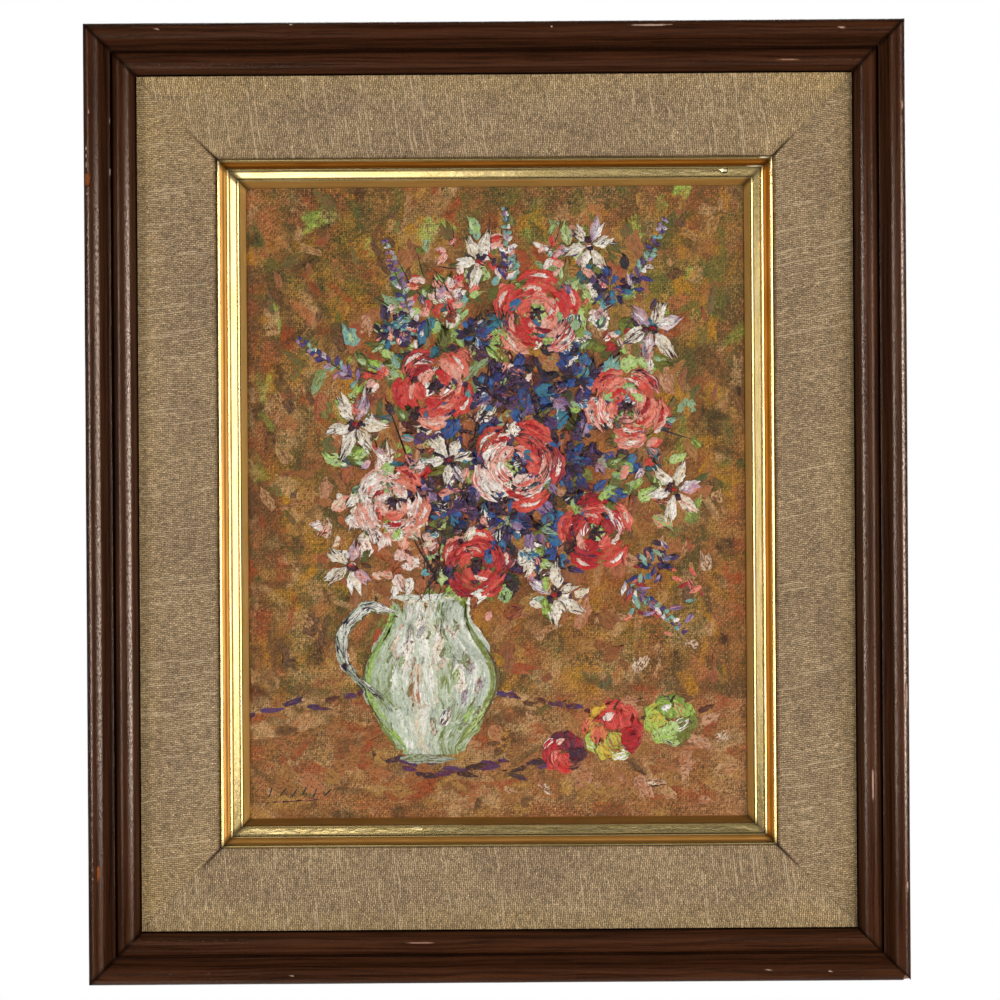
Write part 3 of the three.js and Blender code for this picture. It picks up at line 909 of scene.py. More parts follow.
class Painting:
    """Thin paint as colours on a grid over the canvas, and thick strokes as relief upon it.

    In mm: the CELL of the canvas grid, its MARGIN beyond the sight edge, the COLUMN between points
    across a stroke, the SEAT of the paint over the board, how deep a stroke's RIM dips, how far strokes
    stay CLEAR of the sight edge, and the TOP of the relief that a further stroke still builds on.
    """

    CELL = 0.72
    MARGIN = 2.6
    COLUMN = 0.6
    SEAT = 0.08
    RIM = -0.08
    CLEAR = 0.3
    TOP = 1.5
    DIRTY = 0.3  # share of the strokes whose brush holds some of another colour

    def __init__(self, seed):
        self.rng = np.random.default_rng(seed)
        self.half = np.array(SIGHT) + self.MARGIN
        self.xs = np.linspace(-self.half[0], self.half[0], round(2 * self.half[0] / self.CELL) + 1)
        self.zs = np.linspace(-self.half[1], self.half[1], round(2 * self.half[1] / self.CELL) + 1)
        self.x, self.z = np.meshgrid(self.xs, self.zs)
        self.over = np.zeros((*self.x.shape, 3))
        self.under = np.zeros((*self.x.shape, 3))
        self.cover = np.zeros(self.x.shape)
        self.relief = np.zeros(self.x.shape)
        self.groups = {}
        self.strokes = 0
        self.group = None

    def pick(self, names):
        return PAINTS[self.rng.choice(names.split())]

    def one_of(self, choices):
        return choices[self.rng.integers(len(choices))]

    # -- thin paint

    def wash(self, mask, names, opacity=1.0, layer="over"):
        """Blends a colour that drifts between the named ones, through a mask."""
        target = self.over if layer == "over" else self.under
        chosen = tones(names)
        seed = int(self.rng.integers(1000))
        drift = 0.5 + 0.62 * fractal(self.x / 15, self.z / 15, seed, 4)
        colour = drifting(chosen, drift)
        amount = (np.clip(mask, 0, 1) * opacity)[..., None]
        target[...] = target * (1 - amount) + colour * amount

    def scumble(self, x, z, angle, length, width, colour, opacity, body=0.0):
        """A dry brush mark, with hairy sides and a broken tail."""
        reach = max(length, width) / 2 + 1.5
        i0, i1 = np.searchsorted(self.zs, [z - reach, z + reach])
        j0, j1 = np.searchsorted(self.xs, [x - reach, x + reach])
        if i1 <= i0 or j1 <= j0:
            return
        window = (slice(i0, i1), slice(j0, j1))
        dx, dz = self.x[window] - x, self.z[window] - z
        ux, uz = heading(angle)
        s = (dx * ux + dz * uz) / (length / 2)
        t = (dz * ux - dx * uz) / (width / 2)
        seed = int(self.rng.integers(10000))
        hair = 0.3 * noise(t * 3.2, s * 0.9, seed)
        patchy = 0.35 * noise(self.x[window] / 1.5, self.z[window] / 1.5, seed + 1)
        inside = smooth(1.05, 0.8, np.abs(t) + hair * 0.5) * smooth(1.05, 0.72, np.abs(s) + hair)
        amount = np.clip(inside * (opacity + patchy), 0, 1)[..., None]
        self.over[window] = self.over[window] * (1 - amount) + colour * amount
        self.cover[window] = np.maximum(self.cover[window], amount[..., 0] * body)

    # -- thick paint

    def cell_at(self, x, z):
        """Row and column of the canvas grid at a place."""
        i = np.clip(np.searchsorted(self.zs, z), 0, len(self.zs) - 1)
        j = np.clip(np.searchsorted(self.xs, x), 0, len(self.xs) - 1)
        return i, j

    def stroke(self, path, width, names, thick=0.4, start=0.22, tail=0.35, point=0.25, rag=0.14, dry=0.6):
        """One knife or brush stroke along a path, thicker at its sides and its end.

        start and tail are the shares of its length over which it swells and narrows, and point is
        how wide it is left at the tip.
        """

        def on_path(share):
            return np.stack([np.interp(share, gone, path[:, k]) for k in (0, 1)])

        seed = int(self.rng.integers(100000))
        leg = np.hypot(*np.diff(path, axis=0).T)
        length = leg.sum()
        gone = np.concatenate([[0], np.cumsum(leg)]) / length
        coarse = 2 if self.group == BACKDROP else 1
        rows = int(np.clip(round(length / self.CELL / coarse), 6, 50))
        columns = int(np.clip(round(width / self.COLUMN / coarse), 4, 11))
        s = np.linspace(0, 1, rows)[:, None]
        t = np.linspace(-1, 1, columns)[None, :]
        jag = rag * noise(t * columns * 0.45, 0.5, seed)
        reach = s * (1 - rag + jag * 1.6)
        middle = on_path(reach)
        direction = np.gradient(on_path(s[:, 0]), axis=1)
        direction /= np.hypot(*direction) + 1e-9
        swell = smooth(0, start, s) ** 0.5 * (0.55 + 0.45 * smooth(0, start, s))
        swell = np.maximum(swell, 0.42) * (1 - (1 - point) * smooth(1 - tail, 1, s))
        wobble = 1 + 1.5 * rag * fractal(s * length / 1.9, t * 0.9, seed + 1, 2)
        offset = t * swell * wobble * width / 2
        half_x, half_z = SIGHT[0] - self.CLEAR, SIGHT[1] - self.CLEAR
        x = np.clip(middle[0] - direction[1][:, None] * offset, -half_x, half_x)
        z = np.clip(middle[1] + direction[0][:, None] * offset, -half_z, half_z)
        bristle = noise(t * columns * 0.42, s * 1.1, seed + 2)
        lift = thick * (0.55 + 0.45 * t**2 + 0.32 * bristle + 0.4 * smooth(0.55, 0.9, s))
        rim = (np.abs(t) > 0.999) | (s < 1e-6) | (s > 1 - 1e-6)
        lift = np.where(rim, self.RIM, lift)
        i, j = self.cell_at(x, z)
        height = np.minimum(self.relief[i, j], self.TOP) + lift
        np.maximum.at(self.relief, (i, j), height)
        chosen = tones(names)
        drift = 0.5 + 0.7 * noise(t * width * 0.3 + 7, s * length * 0.16, seed + 3)
        colour = drifting(chosen, drift)
        colour = colour * (1 + 0.12 * noise(t * 2.2, s * 3, seed + 4))[..., None]
        dirty = self.group != BACKDROP and self.rng.random() < self.DIRTY
        mixed_in = self.pick("white plum terracotta salmon night maroon")[None] if dirty else chosen
        second = np.broadcast_to(self.one_of(mixed_in), colour.shape)
        bristles = np.broadcast_arrays(reach * length, t * width / 2, float(self.strokes))
        points = world(x, BOARD_FRONT + self.SEAT + height, z)
        bristles = np.stack(bristles, axis=-1)
        self.keep(points=points, paint=colour, second=second, bristle=bristles, dry=np.full(x.shape, dry))

    def keep(self, **values):
        """Adds a stroke, as grids of values at its points, to the present group."""
        rows, columns = values["points"].shape[:2]
        group = self.groups.setdefault(self.group, {label: [] for label in ("faces", *values)})
        count = sum(len(points) for points in group["points"])
        group["faces"].append(grid_faces(rows, columns)[:, ::-1] + count)
        for label, value in values.items():
            group[label].append(value.reshape(rows * columns, -1))
        self.strokes += 1

    def dab(self, x, z, angle, length, width, names, bend=0.0, **style):
        self.stroke(bowed((x, z), angle, length, bend), width, names, **style)

    def scatter(self, count, middle, spread, length, width, names, angle=None, turn=180, **style):
        """Dabs strewn evenly over an ellipse, each in one of the colour choices."""
        middle, spread = np.array(middle, float), np.array(spread, float)
        for _ in range(count):
            x, z = middle + heading(self.rng.uniform(0, 360)) * math.sqrt(self.rng.random()) * spread
            aim = self.rng.uniform(0, 360) if angle is None else angle + self.rng.uniform(-turn, turn)
            size = self.rng.uniform(0.7, 1.3)
            chosen = self.one_of(names)
            bend = self.rng.uniform(-30, 30)
            self.dab(x, z, aim, length * size, width * size, chosen, bend=bend, **style)

    def make(self, ground_material, paint_material):
        """The canvas as one mesh and each group of strokes as another."""
        rows, columns = self.x.shape
        edge = np.maximum(np.abs(self.x) / self.half[0], np.abs(self.z) / self.half[1]) > 0.9999
        height = BOARD_FRONT + self.SEAT + 0.03 * fractal(self.x / 2, self.z / 2, 3) - 0.2 * edge
        spark = 0.5 + 0.5 * fractal(self.x / 24, self.z / 24, 8)
        pieces = [
            make_mesh(
                "canvas_ground",
                world(self.x, height, self.z),
                grid_faces(rows, columns)[:, ::-1].tolist(),
                [ground_material],
                floats=[("cover", self.cover), ("spark", spark)],
                colours=[("paint", self.over), ("under", self.under)],
            )
        ]
        for name, group in self.groups.items():
            whole = {label: np.concatenate(parts) for label, parts in group.items()}
            pieces.append(
                make_mesh(
                    name,
                    whole["points"],
                    whole["faces"].tolist(),
                    [paint_material],
                    floats=[("dry", whole["dry"])],
                    vectors=[("bristle", whole["bristle"])],
                    colours=[("paint", whole["paint"]), ("second", whole["second"])],
                )
            )
        return pieces


# ---- The picture: a jug of garden flowers and fruit on a table -----------------------------------

JUG_X, JUG_FOOT, JUG_TALL = -26.0, -98.0, 62.0
TABLE = -74.0
TABLE_EDGE = ((-88, -79, 9, 34), (-58, -74, 14, 22), (6, -75, -12, 24), (30, -80, -9, 30), (64, -82, 6, 26))
SPRAY = np.array((4.0, 22.0))
SPRAY_SIZE = np.array((64.0, 80.0))


def background(p):
    full = np.ones(p.x.shape)
    p.wash(full, "burnt_umber umber moss burnt_sienna burnt_umber", layer="under")
    p.wash(full, "sienna burnt_sienna gold_ochre umber ochre sienna")
    high, right = smooth(-10, 80, p.z), smooth(-30, 60, p.x)
    greens = smooth(-0.05, 0.4, fractal(p.x / 34, p.z / 30, 31)) * high
    p.wash(greens * (0.5 + 0.5 * right), "olive sap moss gold_ochre olive", 0.9)
    p.wash(greens * right * smooth(0, 0.5, fractal(p.x / 20, p.z / 20, 33)), "sap lime olive", 0.5)
    p.wash(greens, "moss dark_green umber", 0.8, layer="under")
    p.wash(smooth(0.0, 0.35, fractal(p.x / 24, p.z / 30, 35)), "gold_ochre ochre tan gold_ochre", 0.85)
    p.wash(smooth(0.0, 0.35, fractal(p.x / 15, p.z / 22, 36)), "burnt_umber umber moss", 0.85)
    p.wash(smooth(0.15, 0.4, fractal(p.x / 12, p.z / 15, 39)), "rust burnt_sienna terracotta", 0.7)
    # Painted shadow: dark umber along the left sight edge, where the slip shades the picture.
    p.wash(smooth(4, 0.8, p.x + SIGHT[0]), "burnt_umber black", 0.75)
    border = smooth(20, 2, np.minimum(SIGHT[0] - np.abs(p.x), SIGHT[1] - np.abs(p.z)))
    p.wash(border, "rust burnt_sienna sienna", 0.5)
    front = smooth(TABLE + 3, TABLE - 5, p.z + 2.5 * fractal(p.x / 12, 0, 37))
    p.wash(front, "sienna terracotta tan sienna terracotta ochre", 0.75)
    p.wash(front * smooth(0, 60, p.x), "pink_tan terracotta tan", 0.5)
    p.wash(front, "burnt_sienna umber sienna", 0.8, layer="under")
    for _ in range(1700):
        x, z = p.rng.uniform(-1, 1, 2) * (SIGHT[0], SIGHT[1])
        angle = p.rng.normal(90, 40)
        if z < TABLE:
            names, angle = "tan sienna terracotta burnt_sienna ochre umber rust umber", p.rng.normal(6, 22)
        elif p.rng.random() < 0.4 * smooth(-20, 70, z) * (0.6 + 0.8 * (x > 10)):
            names = "sap olive moss olive gold_ochre moss olive umber lime"
        else:
            names = "sienna terracotta ochre rust burnt_sienna umber gold_ochre sienna burnt_umber"
            names += " umber tan"
        length, width = p.rng.uniform(3, 15), p.rng.uniform(2, 7)
        colour, opacity, body = p.pick(names), p.rng.uniform(0.2, 0.8), p.rng.uniform(0, 0.5)
        p.scumble(x, z, angle, length, width, colour, opacity, body)
    reach_x, reach_z = (p.x - SPRAY[0]) / SPRAY_SIZE[0], (p.z - SPRAY[1]) / SPRAY_SIZE[1]
    behind = smooth(1.05, 0.7, np.hypot(reach_x, reach_z))
    p.wash(behind, "sienna terracotta burnt_sienna umber maroon", 0.7)
    p.cover = np.maximum(p.cover, behind * 0.9)


def knife_patches(p):
    """Flat patches of thicker paint behind and around the flowers."""
    p.group = BACKDROP
    warm = ["terracotta sienna", "sienna burnt_sienna", "rust terracotta", "ochre sienna",
            "terracotta pink_tan"]
    green = ["sap olive lime", "moss olive", "sage sap", "olive gold_ochre"]
    for _ in range(330):
        turn = p.rng.uniform(0, 360)
        x, z = SPRAY + heading(turn) * SPRAY_SIZE * p.rng.uniform(0.05, 1.18)
        if abs(x) > SIGHT[0] - 8 or abs(z) > SIGHT[1] - 8 or z < TABLE + 4:
            continue
        choices = green if p.rng.random() < 0.3 * (z > 20) + 0.06 else warm
        chosen = p.one_of(choices)
        length, width = p.rng.uniform(7, 18), p.rng.uniform(4, 8.5)
        p.dab(x, z, turn + p.rng.normal(90, 50), length, width, chosen, bend=p.rng.uniform(-30, 30),
              thick=0.1, point=0.7, rag=0.24, dry=0.8)
    for _ in range(90):
        x, z = p.rng.uniform(-SIGHT[0] + 4, SIGHT[0] - 10), p.rng.uniform(-SIGHT[1] + 6, TABLE - 4)
        choices = ["terracotta tan", "sienna terracotta", "ochre sienna", "sienna umber", "rust sienna"]
        rosy = p.rng.random() < 0.3 * (x > 20)
        chosen = "pink_tan terracotta" if rosy else p.one_of(choices)
        p.dab(x, z, p.rng.normal(4, 30), p.rng.uniform(6, 16), p.rng.uniform(4, 8), chosen,
              thick=0.1, bend=p.rng.uniform(-30, 30), point=0.7, rag=0.28, dry=1.0)


def dry_brush(p):
    """Broken touches dragged over the whole background."""
    p.group = BACKDROP
    high = ["sap olive", "gold_ochre ochre", "olive moss", "umber burnt_umber", "ochre tan", "rust sienna"]
    low = ["terracotta tan", "ochre sienna", "umber burnt_umber", "rust terracotta", "tan pink_tan",
           "cream pink_tan"]
    for _ in range(260):
        x, z = p.rng.uniform(-1, 1, 2) * (SIGHT - np.array((9, 9)))
        if z < TABLE - 25 and x < -40:
            continue
        choices = high if z > 10 or p.rng.random() < 0.3 else low
        angle = p.rng.normal(90, 35) if z > TABLE else p.rng.normal(5, 25)
        p.dab(x, z, angle, p.rng.uniform(6, 15), p.rng.uniform(3, 7), p.one_of(choices),
              bend=p.rng.uniform(-25, 25), thick=0.06, point=0.7, rag=0.34, dry=1.6)


def table_edge(p):
    p.group = BACKDROP
    for x, z, angle, length in TABLE_EDGE:
        for share in np.linspace(-0.4, 0.4, 4):
            spot = (x, z) + heading(angle) * length * share + p.rng.normal(0, 0.8, 2)
            names = "plum violet maroon" if p.rng.random() < 0.6 else "maroon umber"
            p.dab(*spot, angle + p.rng.normal(0, 8), length * 0.36, 3, names,
                  thick=0.16, point=0.6, rag=0.3, dry=1.0)
    shade = ["plum burnt_umber", "violet maroon", "umber plum"]
    p.scatter(22, (-16, JUG_FOOT - 3), (34, 4), 9, 2.6, shade, 3, 14, thick=0.16, dry=1.0)


# Half width of the jug's body at shares of its height, from foot to rim.
JUG_OUTLINE = np.array(
    [(0, 11), (0.06, 9.5), (0.12, 12.4), (0.2, 17), (0.3, 21.2), (0.4, 24), (0.5, 25), (0.6, 23.6),
     (0.7, 19.6), (0.8, 14.8), (0.88, 12.6), (0.94, 13.2), (1, 15.5)]
)


def jug(p):
    """Tall jug with a spout to the right and a handle to the left."""
    p.group = "jug_strokes"

    def side(share, across):
        width = np.interp(share, JUG_OUTLINE[:, 0], JUG_OUTLINE[:, 1])
        return np.stack([JUG_X + across * width, JUG_FOOT + JUG_TALL * share], axis=-1)

    shares = np.linspace(0.02, 1, 22)
    for across in np.linspace(-0.9, 0.9, 11):
        light = "white celadon cream" if -0.5 < across < 0.3 else "celadon_shade celadon sap"
        for low, high in ((0, 9), (6, 15), (12, 22)):
            names = "grey_green celadon white" if p.rng.random() < 0.4 else light
            p.stroke(side(shares[low:high], across + p.rng.normal(0, 0.04)), p.rng.uniform(7, 10), names,
                     thick=0.25, point=0.75, rag=0.12, dry=0.1)
    for across, names in ((-0.98, "celadon_shade lime sage"), (0.98, "celadon_shade sap pale_lime")):
        p.stroke(side(shares, across), 3.2, names, thick=0.4, point=0.7)
        p.stroke(side(shares[3:16], across * 1.06), 1.2, "olive umber moss", thick=0.25, point=0.5)
    knots = np.array([(-13, 56), (-24, 59), (-34, 49), (-33, 36), (-22, 26), (-17, 23)], float)
    knots += (JUG_X, JUG_FOOT)
    t = np.linspace(0, len(knots) - 1, 26)
    path = np.stack([np.interp(t, range(len(knots)), knots[:, k]) for k in (0, 1)], axis=-1)
    path[1:-1] = (path[:-2] + 2 * path[1:-1] + path[2:]) / 4
    p.stroke(path + (0.8, -1.8), 2.4, "olive umber celadon_shade", thick=0.3, point=0.6)
    p.stroke(path, 5.4, "celadon white celadon_shade", thick=0.5, point=0.7, rag=0.2)
    rim = bowed((JUG_X - 15, JUG_FOOT + JUG_TALL), -8, 34, 22)
    p.stroke(rim, 3.6, "white celadon cream", thick=0.5, point=0.5)
    p.stroke(bowed((JUG_X + 14, JUG_FOOT + 59), 28, 13, 20), 5, "celadon white", thick=0.5, point=0.3)
    p.stroke(bowed((JUG_X - 12, JUG_FOOT), -3, 25, 6), 3.8, "celadon_shade grey_green olive", thick=0.4)
    glints = ((-10, 32, 78, 20), (-4, 44, 84, 14), (12, 24, 95, 16), (4, 12, 60, 9), (2, 36, 80, 18))
    for x, z, angle, length in glints:
        p.dab(JUG_X + x, JUG_FOOT + z, angle, length, 4.4, "white cream", thick=0.5, bend=8)
    marks = ["lilac grey_green", "lime celadon", "pink celadon", "olive celadon_shade"]
    p.scatter(20, (JUG_X + 4, -70), (18, 22), 7, 2.6, marks, 80, 25, thick=0.3, dry=1.0)


def fruit(p, x, z, size, names, glint):
    """A round fruit, built of curved dabs around its middle."""
    p.group = "jug_strokes"
    for ring_size, count in ((0.7, 9), (0.36, 5), (0.08, 2)):
        for turn in np.linspace(0, 360, count, endpoint=False) + p.rng.uniform(0, 30):
            spot = (x, z) + heading(turn) * size * ring_size
            chosen = names[int(turn / 360 * len(names)) % len(names)]
            p.dab(*spot, turn + 80, size * 0.85, size * 0.6, chosen, bend=45, thick=0.3, rag=0.2)
    p.dab(x - size * 0.35, z + size * 0.4, 30, size * 0.5, size * 0.3, glint, thick=0.45)
    p.dab(x, z + size * 0.7, 70, size * 0.5, 1.1, "burnt_umber black", thick=0.35, bend=-30)


def stem(p, start, end, names="dark_green black plum", width=0.9):
    start, end = np.array(start, float), np.array(end, float)
    length = np.hypot(*(end - start))
    angle = math.degrees(math.atan2(*(end - start)[::-1]))
    bend = p.rng.uniform(-26, 26)
    p.stroke(bowed(start, angle - bend / 2, length, bend, 14), width, names, thick=0.2, tail=0.5, rag=0.3)


def leaf(p, x, z, angle, length, names):
    width = length * p.rng.uniform(0.36, 0.55)
    p.dab(x, z, angle, length, width, names, bend=p.rng.uniform(-35, 35), thick=0.42, point=0.3, rag=0.24)
    if length > 9:
        spot = (x, z) + heading(angle + 12) * length * 0.15
        p.dab(*spot, angle + 6, length * 0.6, length * 0.18, "pale_lime sage", thick=0.3, rag=0.24)


def poppy(p, x, z, size, names):
    """Broad cupped petals, each of a few curved knife strokes, around a dark middle."""
    turn = p.rng.uniform(0, 72)
    for petal in (0, 2, 4, 1, 3):
        middle = turn + petal * 72 + p.rng.uniform(-8, 8)
        for far, spread in ((0.3, 0.55), (0.56, 0.95), (0.8, 1.05)):
            chosen = p.one_of(names)
            spot = (x, z) + heading(middle) * size * far + heading(middle - 90) * size * spread * 0.5
            p.dab(*spot, middle + 52, size * spread * 1.06, size * 0.36, chosen, bend=76, thick=0.45,
                  start=0.3, tail=0.3, point=0.5, rag=0.16, dry=0.35)
        rim = "white pink" if p.rng.random() < 0.6 else "crimson red"
        spot = (x, z) + heading(middle) * size * 0.9 + heading(middle - 90) * size * 0.32
        p.dab(*spot, middle + 55, size * 0.66, size * 0.13, rim, bend=70, thick=0.45, rag=0.24)
    for _ in range(8):
        at = p.rng.uniform(0, 360)
        spot = (x, z) + heading(at) * size * p.rng.uniform(0.3, 0.7)
        tone = p.one_of(["white pink", "crimson red", "pink salmon", "red coral"])
        p.dab(*spot, at + 70, size * 0.6, size * 0.16, tone, bend=60, thick=0.42, rag=0.2)
    for at in range(0, 360, 60):
        p.dab(x, z, at + p.rng.uniform(-20, 20), size * 0.3, 1.4, "maroon plum", thick=0.45, rag=0.24)
    p.dab(x - 1.6, z, 20, size * 0.28, size * 0.22, "black plum", thick=0.7, point=0.6, rag=0.2)


def daisy(p, x, z, size, count=6):
    turn = p.rng.uniform(0, 45)
    dark = ["plum violet", "maroon umber", "moss olive"]
    p.scatter(7, (x, z), (size * 0.7, size * 0.7), size * 0.5, 2.6, dark, thick=0.2)
    for petal in range(count):
        angle = turn + petal * 360 / count + p.rng.uniform(-12, 12)
        if p.rng.random() < 0.08:
            continue
        spot = (x, z) + heading(angle) * size * 0.14
        names = "white cream white" if p.rng.random() < 0.75 else "white lilac pink"
        reach = size * p.rng.uniform(0.72, 1.02)
        for turned in (-9, 8):
            p.dab(*spot, angle + turned, reach, size * 0.3, names, bend=p.rng.uniform(-15, 15) - turned,
                  thick=0.62, start=0.4, tail=0.35, point=0.35, rag=0.26)
    for _ in range(4):
        spot = (x, z) + p.rng.normal(0, 0.8, 2)
        aim = p.rng.uniform(0, 360)
        p.dab(*spot, aim, size * 0.24, size * 0.17, "plum night maroon", thick=0.7, point=0.6)
    p.dab(x - 1.2, z, 10, size * 0.2, size * 0.12, "red crimson", thick=0.8, point=0.6)


def cornflower(p, x, z, size, names):
    """A ragged blue head on a dark clump."""
    dark = ["night black", "plum night", "violet night"]
    p.scatter(8, (x, z), (size * 0.9, size * 0.9), size * 0.6, 3.2, dark, thick=0.3, rag=0.24)
    for ring_size, count in ((0.4, 9), (0.1, 5)):
        for turn in np.linspace(0, 360, count, endpoint=False):
            angle = turn + p.rng.uniform(-22, 22)
            spot = (x, z) + heading(angle) * size * ring_size
            chosen = p.one_of(names)
            aim, reach = angle + p.rng.uniform(-20, 20), size * p.rng.uniform(0.4, 0.66)
            p.dab(*spot, aim, reach, size * 0.28, chosen,
                  thick=0.55, start=0.5, tail=0.3, point=0.45, rag=0.24)


def spike(p, start, angle, length, names):
    """Small dabs in pairs up a stem, shorter towards the tip."""
    path = bowed(start, angle, length, p.rng.uniform(-18, 18), 14)
    p.stroke(path, 0.9, "dark_green moss", thick=0.2)
    for share in np.linspace(0.05, 1, int(length / 2.3)):
        spot = [np.interp(share * 14, range(15), path[:, k]) for k in (0, 1)]
        for side in (-1, 1):
            chosen = p.one_of(names)
            reach = (1.5 - share) * p.rng.uniform(3.2, 5.2)
            aim = angle + side * p.rng.uniform(20, 80)
            p.dab(*spot, aim, reach, 2.2, chosen, thick=0.5, start=0.5, tail=0.3, rag=0.24)


# Places and sizes of the flowers in mm. A poppy has its choices of paint after them. A spike has its
# foot, angle and length.
POPPIES = [
    (-24, 44, 14, "coral salmon pink", "red coral"),
    (16, 72, 15, "salmon pink coral", "coral red"),
    (50, 36, 14, "coral red salmon", "salmon coral pink"),
    (8, 14, 16, "coral pink white", "red coral"),
    (-40, 0, 13, "salmon pink white", "coral salmon"),
    (38, -12, 13, "red coral", "crimson red"),
    (-8, -24, 12, "red crimson coral", "coral red"),
]
DAISIES = [
    (-54, 30, 14), (-6, 92, 12), (60, 66, 14), (-56, -24, 13),
    (68, 4, 13), (22, -36, 13), (-18, 16, 11), (36, 98, 11),
]
CORNFLOWERS = [
    (-2, 42, 11), (31, 48, 12), (-40, 66, 9), (27, 14, 12), (-18, -4, 10),
    (60, -24, 9), (44, 82, 10), (4, -8, 10), (-8, 64, 9),
]
SPIKES = [
    ((-28, 60), 112, 42), ((52, 80), 62, 30), ((-52, 46), 148, 28),
    ((48, -30), -38, 30), ((4, 84), 84, 28),
]

DARKS = ["night black", "plum maroon", "dark_green moss", "black plum", "violet night",
         "maroon burnt_umber", "night violet"]
GREENS = ["sap olive", "lime sage", "sage sea", "moss sap", "teal dark_green", "pale_lime lime",
          "lime sap pale_lime"]
WARMS = ["coral salmon", "rust terracotta", "maroon rust", "pink salmon", "white pink", "cream white",
         "crimson red"]
BLUES = ["ultramarine cobalt", "teal cobalt", "night ultramarine", "violet lilac", "plum violet"]


def underpainting(p):
    """Dark, wet paint behind the flowers, with greenery at its edges."""
    p.group = "leaf_strokes"
    mouth = np.array((JUG_X + 2, JUG_FOOT + JUG_TALL - 4))
    for _ in range(34):
        far = SPRAY + heading(p.rng.uniform(-10, 190)) * SPRAY_SIZE * p.rng.uniform(0.3, 0.85)
        stem(p, mouth + (p.rng.normal(0, 5), p.rng.uniform(0, 16)), far)
    p.scatter(230, (5, 20), (46, 54), 10, 5.4, DARKS, thick=0.25, rag=0.3, dry=1.0)
    p.scatter(100, (6, 26), (58, 68), 10, 5, GREENS, thick=0.35, rag=0.3, dry=1.0)
    p.scatter(90, (4, 20), (56, 64), 9.5, 4.8, WARMS, thick=0.4, rag=0.3, dry=1.0)
    p.scatter(100, (12, 24), (42, 50), 9, 4.4, BLUES, thick=0.5, rag=0.3, dry=0.8)
    for _ in range(110):
        turn = p.rng.uniform(-25, 205)
        x, z = SPRAY + heading(turn) * SPRAY_SIZE * p.rng.uniform(0.6, 1.04)
        leaf(p, x, z, turn + p.rng.normal(0, 40), p.rng.uniform(6, 12), p.one_of(GREENS))
    for _ in range(36):
        turn = p.rng.uniform(-15, 195)
        x, z = SPRAY + heading(turn) * SPRAY_SIZE * p.rng.uniform(0.75, 1.0)
        stem(p, (x, z), (x, z) + heading(turn + p.rng.normal(0, 25)) * p.rng.uniform(8, 16), width=0.8)
        buds = ["salmon pink", "coral red", "lilac pink", "white pink"]
        p.scatter(4, (x, z), (4, 4), 5, 2.6, buds, thick=0.5)


def blooms(p):
    p.group = "flower_strokes"
    dark = ["black night", "plum black", "night violet"]
    pale = ["white pink", "cream salmon", "white cream"]
    p.scatter(90, (5, 14), (44, 50), 7, 2.6, dark, thick=0.4, rag=0.3)
    p.scatter(50, (-46, -12), (22, 22), 8, 4, pale, thick=0.5, rag=0.3)
    for start, angle, length in SPIKES:
        spike(p, start, angle, length, ["lilac violet", "lilac white", "violet ultramarine", "sea sage"])
    blue = ["ultramarine night", "night plum", "cobalt ultramarine", "teal cobalt", "night violet"]
    for x, z, size in CORNFLOWERS:
        cornflower(p, x, z, size, blue)
    for x, z, size, *names in POPPIES:
        poppy(p, x, z, size, names)
    for x, z, size in DAISIES:
        daisy(p, x, z, size)
    p.group = "accent_strokes"
    accents = ["sea teal", "pale_lime lime", "white cream", "pink coral", "lilac violet", "lime sage",
               "cobalt teal"]
    p.scatter(46, SPRAY, SPRAY_SIZE * 0.92, 6, 3, accents, thick=0.5, rag=0.3)
    sprigs = ["crimson coral", "sea sage", "lilac violet", "coral salmon"]
    p.scatter(30, (64, -34), (18, 18), 5, 1.8, sprigs, thick=0.4)


def mock_inscription(p):
    """Slanted strokes where a signature would be. They are not letters."""
    p.group = "accent_strokes"
    left, low, ink = 7 - SIGHT[0], -113, "dark_green black"
    for k in range(6):
        x, z, slant = left + 4.2 * k, low + 0.4 * (k % 2), 66 - 9 * (k % 3)
        p.dab(x, z, slant, 5.4, 0.9, ink, thick=0.16, bend=14 * (-1) ** k)
    p.dab(left - 1, low - 1.6, 3, 27, 0.8, ink, thick=0.14)


def paint_picture():
    p = Painting(seed=417)
    background(p)
    dry_brush(p)
    knife_patches(p)
    table_edge(p)
    jug(p)
    fruit(p, 44, -88, 11, ["coral red", "yellow coral", "lime yellow", "crimson red"], "white pink")
    fruit(p, 66, -84, 9.5, ["lime sap", "yellow lime", "pale_lime lime", "sap olive"], "white pale_lime")
    fruit(p, 25, -96, 8, ["crimson plum", "red crimson", "coral red", "maroon plum"], "pink white")
    underpainting(p)
    blooms(p)
    mock_inscription(p)
    for piece in p.make(oil_ground(), oil_paint()):
        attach(piece, "root")


paint_picture()


# ---- Studio --------------------------------------------------------------------------------------


def area_light(name, place, target, width, height, power, colour=(1, 1, 1)):
    data = bpy.data.lights.new(name, "AREA")
    data.shape, data.size, data.size_y = "RECTANGLE", width, height
    data.energy, data.color = power, colour
    light = bpy.data.objects.new(name, data)
    light.location = place
    light.rotation_euler = (Vector(target) - Vector(place)).to_track_quat("-Z", "Y").to_euler()
    light.visible_camera = False
    bpy.context.scene.collection.objects.link(light)


def studio():
    middle = Vector((0, BACK_Y, CENTRE_Z))
    area_light("left_strip", (-1.0, -0.95, CENTRE_Z), middle, 0.2, 0.62, 8)
    area_light("right_softbox", (0.95, -1.0, CENTRE_Z), middle, 1.05, 0.58, 15, (1, 0.97, 0.94))
    area_light("back_fill", (0.5, 1.6, CENTRE_Z + 0.9), middle, 1.4, 1.4, 22)
    surroundings()
    bpy.context.scene.view_settings.view_transform = "Standard"


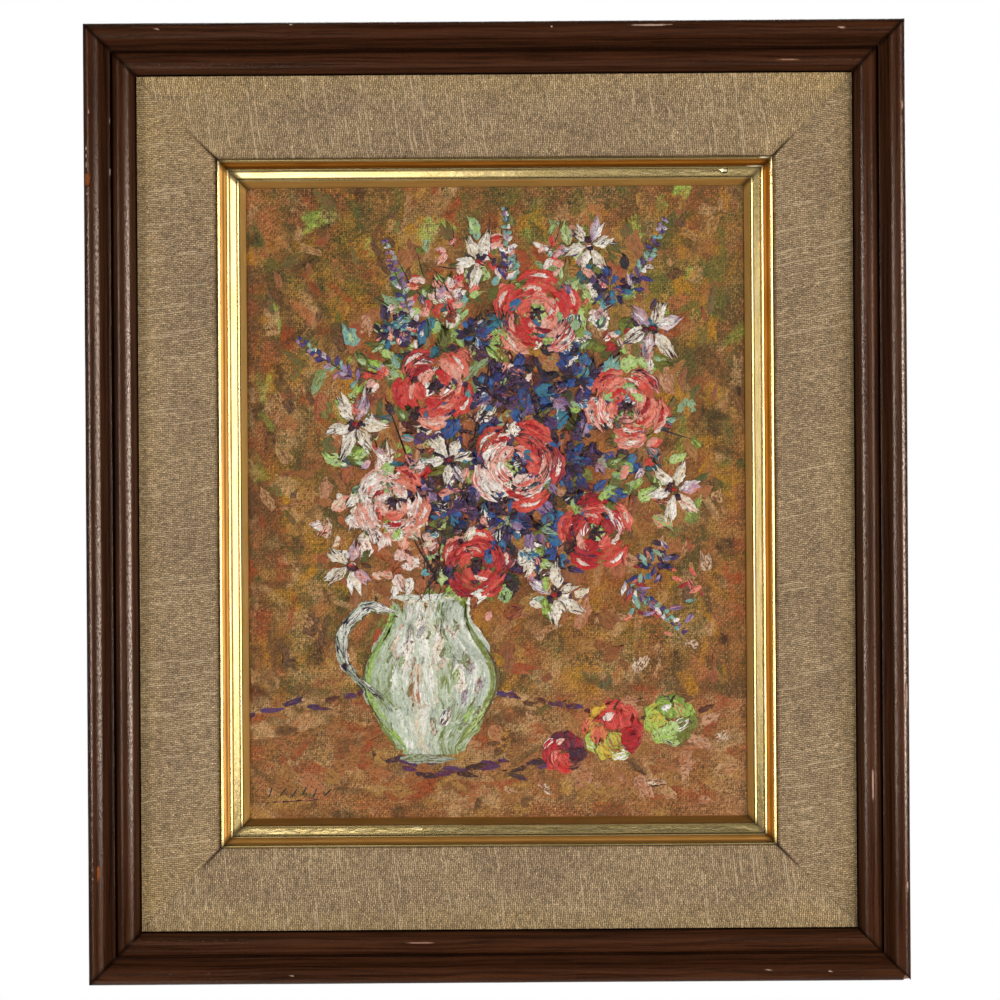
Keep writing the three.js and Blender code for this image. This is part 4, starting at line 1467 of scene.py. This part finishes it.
def surroundings():
    """Plain white to the camera. To the gilding, a room with a bright side behind the camera."""
    room = bpy.data.worlds.new("studio")
    room.use_nodes = True
    bpy.context.scene.world = room
    w = Shading(room.node_tree)
    coordinates = w.tree.nodes.new("ShaderNodeTexCoord")
    dx, dy, dz = w.parts(Field(w.tree, coordinates.outputs["Generated"]))
    ahead = (dy * -1.0).math("MAXIMUM", 0.05)
    x, z = dx.math("DIVIDE", ahead), dz.math("DIVIDE", ahead)
    left = x.ramp(0.0, -0.05) * z.ramp(-0.075, -0.06)
    right = x.ramp(0.01, 0.05) * z.ramp(-0.075, -0.06) * z.ramp(0.085, 0.065)
    above = z.ramp(0.06, 0.085) * x.ramp(0.015, -0.015)
    near = (x * x + z * z).ramp(0.021, 0.016)
    glow = (left * 3.4 + right * 1.3 + above * 1.2) * near + 0.07
    lit = w.tree.nodes["Background"]
    lit.inputs["Color"].default_value = (1.0, 0.96, 0.9, 1)
    w.tree.links.new(glow.socket, lit.inputs["Strength"])
    backdrop = w.node("ShaderNodeBackground", Color=(1, 1, 1, 1))
    seen = w.node("ShaderNodeLightPath")
    mixed = w.node("ShaderNodeMixShader")
    w.tree.links.new(seen.outputs["Is Camera Ray"], mixed.inputs[0])
    w.tree.links.new(lit.outputs[0], mixed.inputs[1])
    w.tree.links.new(backdrop.outputs[0], mixed.inputs[2])
    w.tree.links.new(mixed.outputs[0], w.tree.nodes["World Output"].inputs[0])


def floor():
    half = 0.75
    height = RAIL_BOTTOM_LOW.z - 0.42
    signs = (-1, -1), (1, -1), (1, 1), (-1, 1)
    corners = np.array([(half * x, half * y, height) for x, y in signs])
    f = Finish("pale_floor", Roughness=0.7)
    x, y, _ = f.object_place()
    f.set("Base Color", f.mix(f.noise(x * 0.01, y * 0.01), srgb(236, 234, 230), srgb(228, 226, 222)))
    piece = make_mesh("floor", corners, [(0, 1, 2, 3)], [f.material])


def camera():
    """Square to the picture, with the slight roll of a hand-held view."""
    distance, view_width, roll = 1.5, 0.3796, math.radians(0.38)
    data = bpy.data.cameras.new("camera")
    data.sensor_width = 36
    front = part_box("frame_rail_top")[0].y
    data.lens = data.sensor_width * distance / view_width
    cam = bpy.data.objects.new("camera", data)
    cam.location = (0.0012, front - distance, CENTRE_Z + 0.0007)
    cam.rotation_euler = (math.pi / 2, roll, 0)
    bpy.context.scene.collection.objects.link(cam)
    bpy.context.scene.camera = cam


studio()
floor()
camera()

board_half = (BOARD_HIGH - BOARD_LOW) / 2 / MM
for node, material in (
    ("canvas_board", board_back(board_half.x, board_half.z, CANVAS_TURN)),
    ("hanger_plate", zinc()),
):
    obj = frame["nodes"][node]
    obj.data.materials.clear()
    obj.data.materials.append(material)
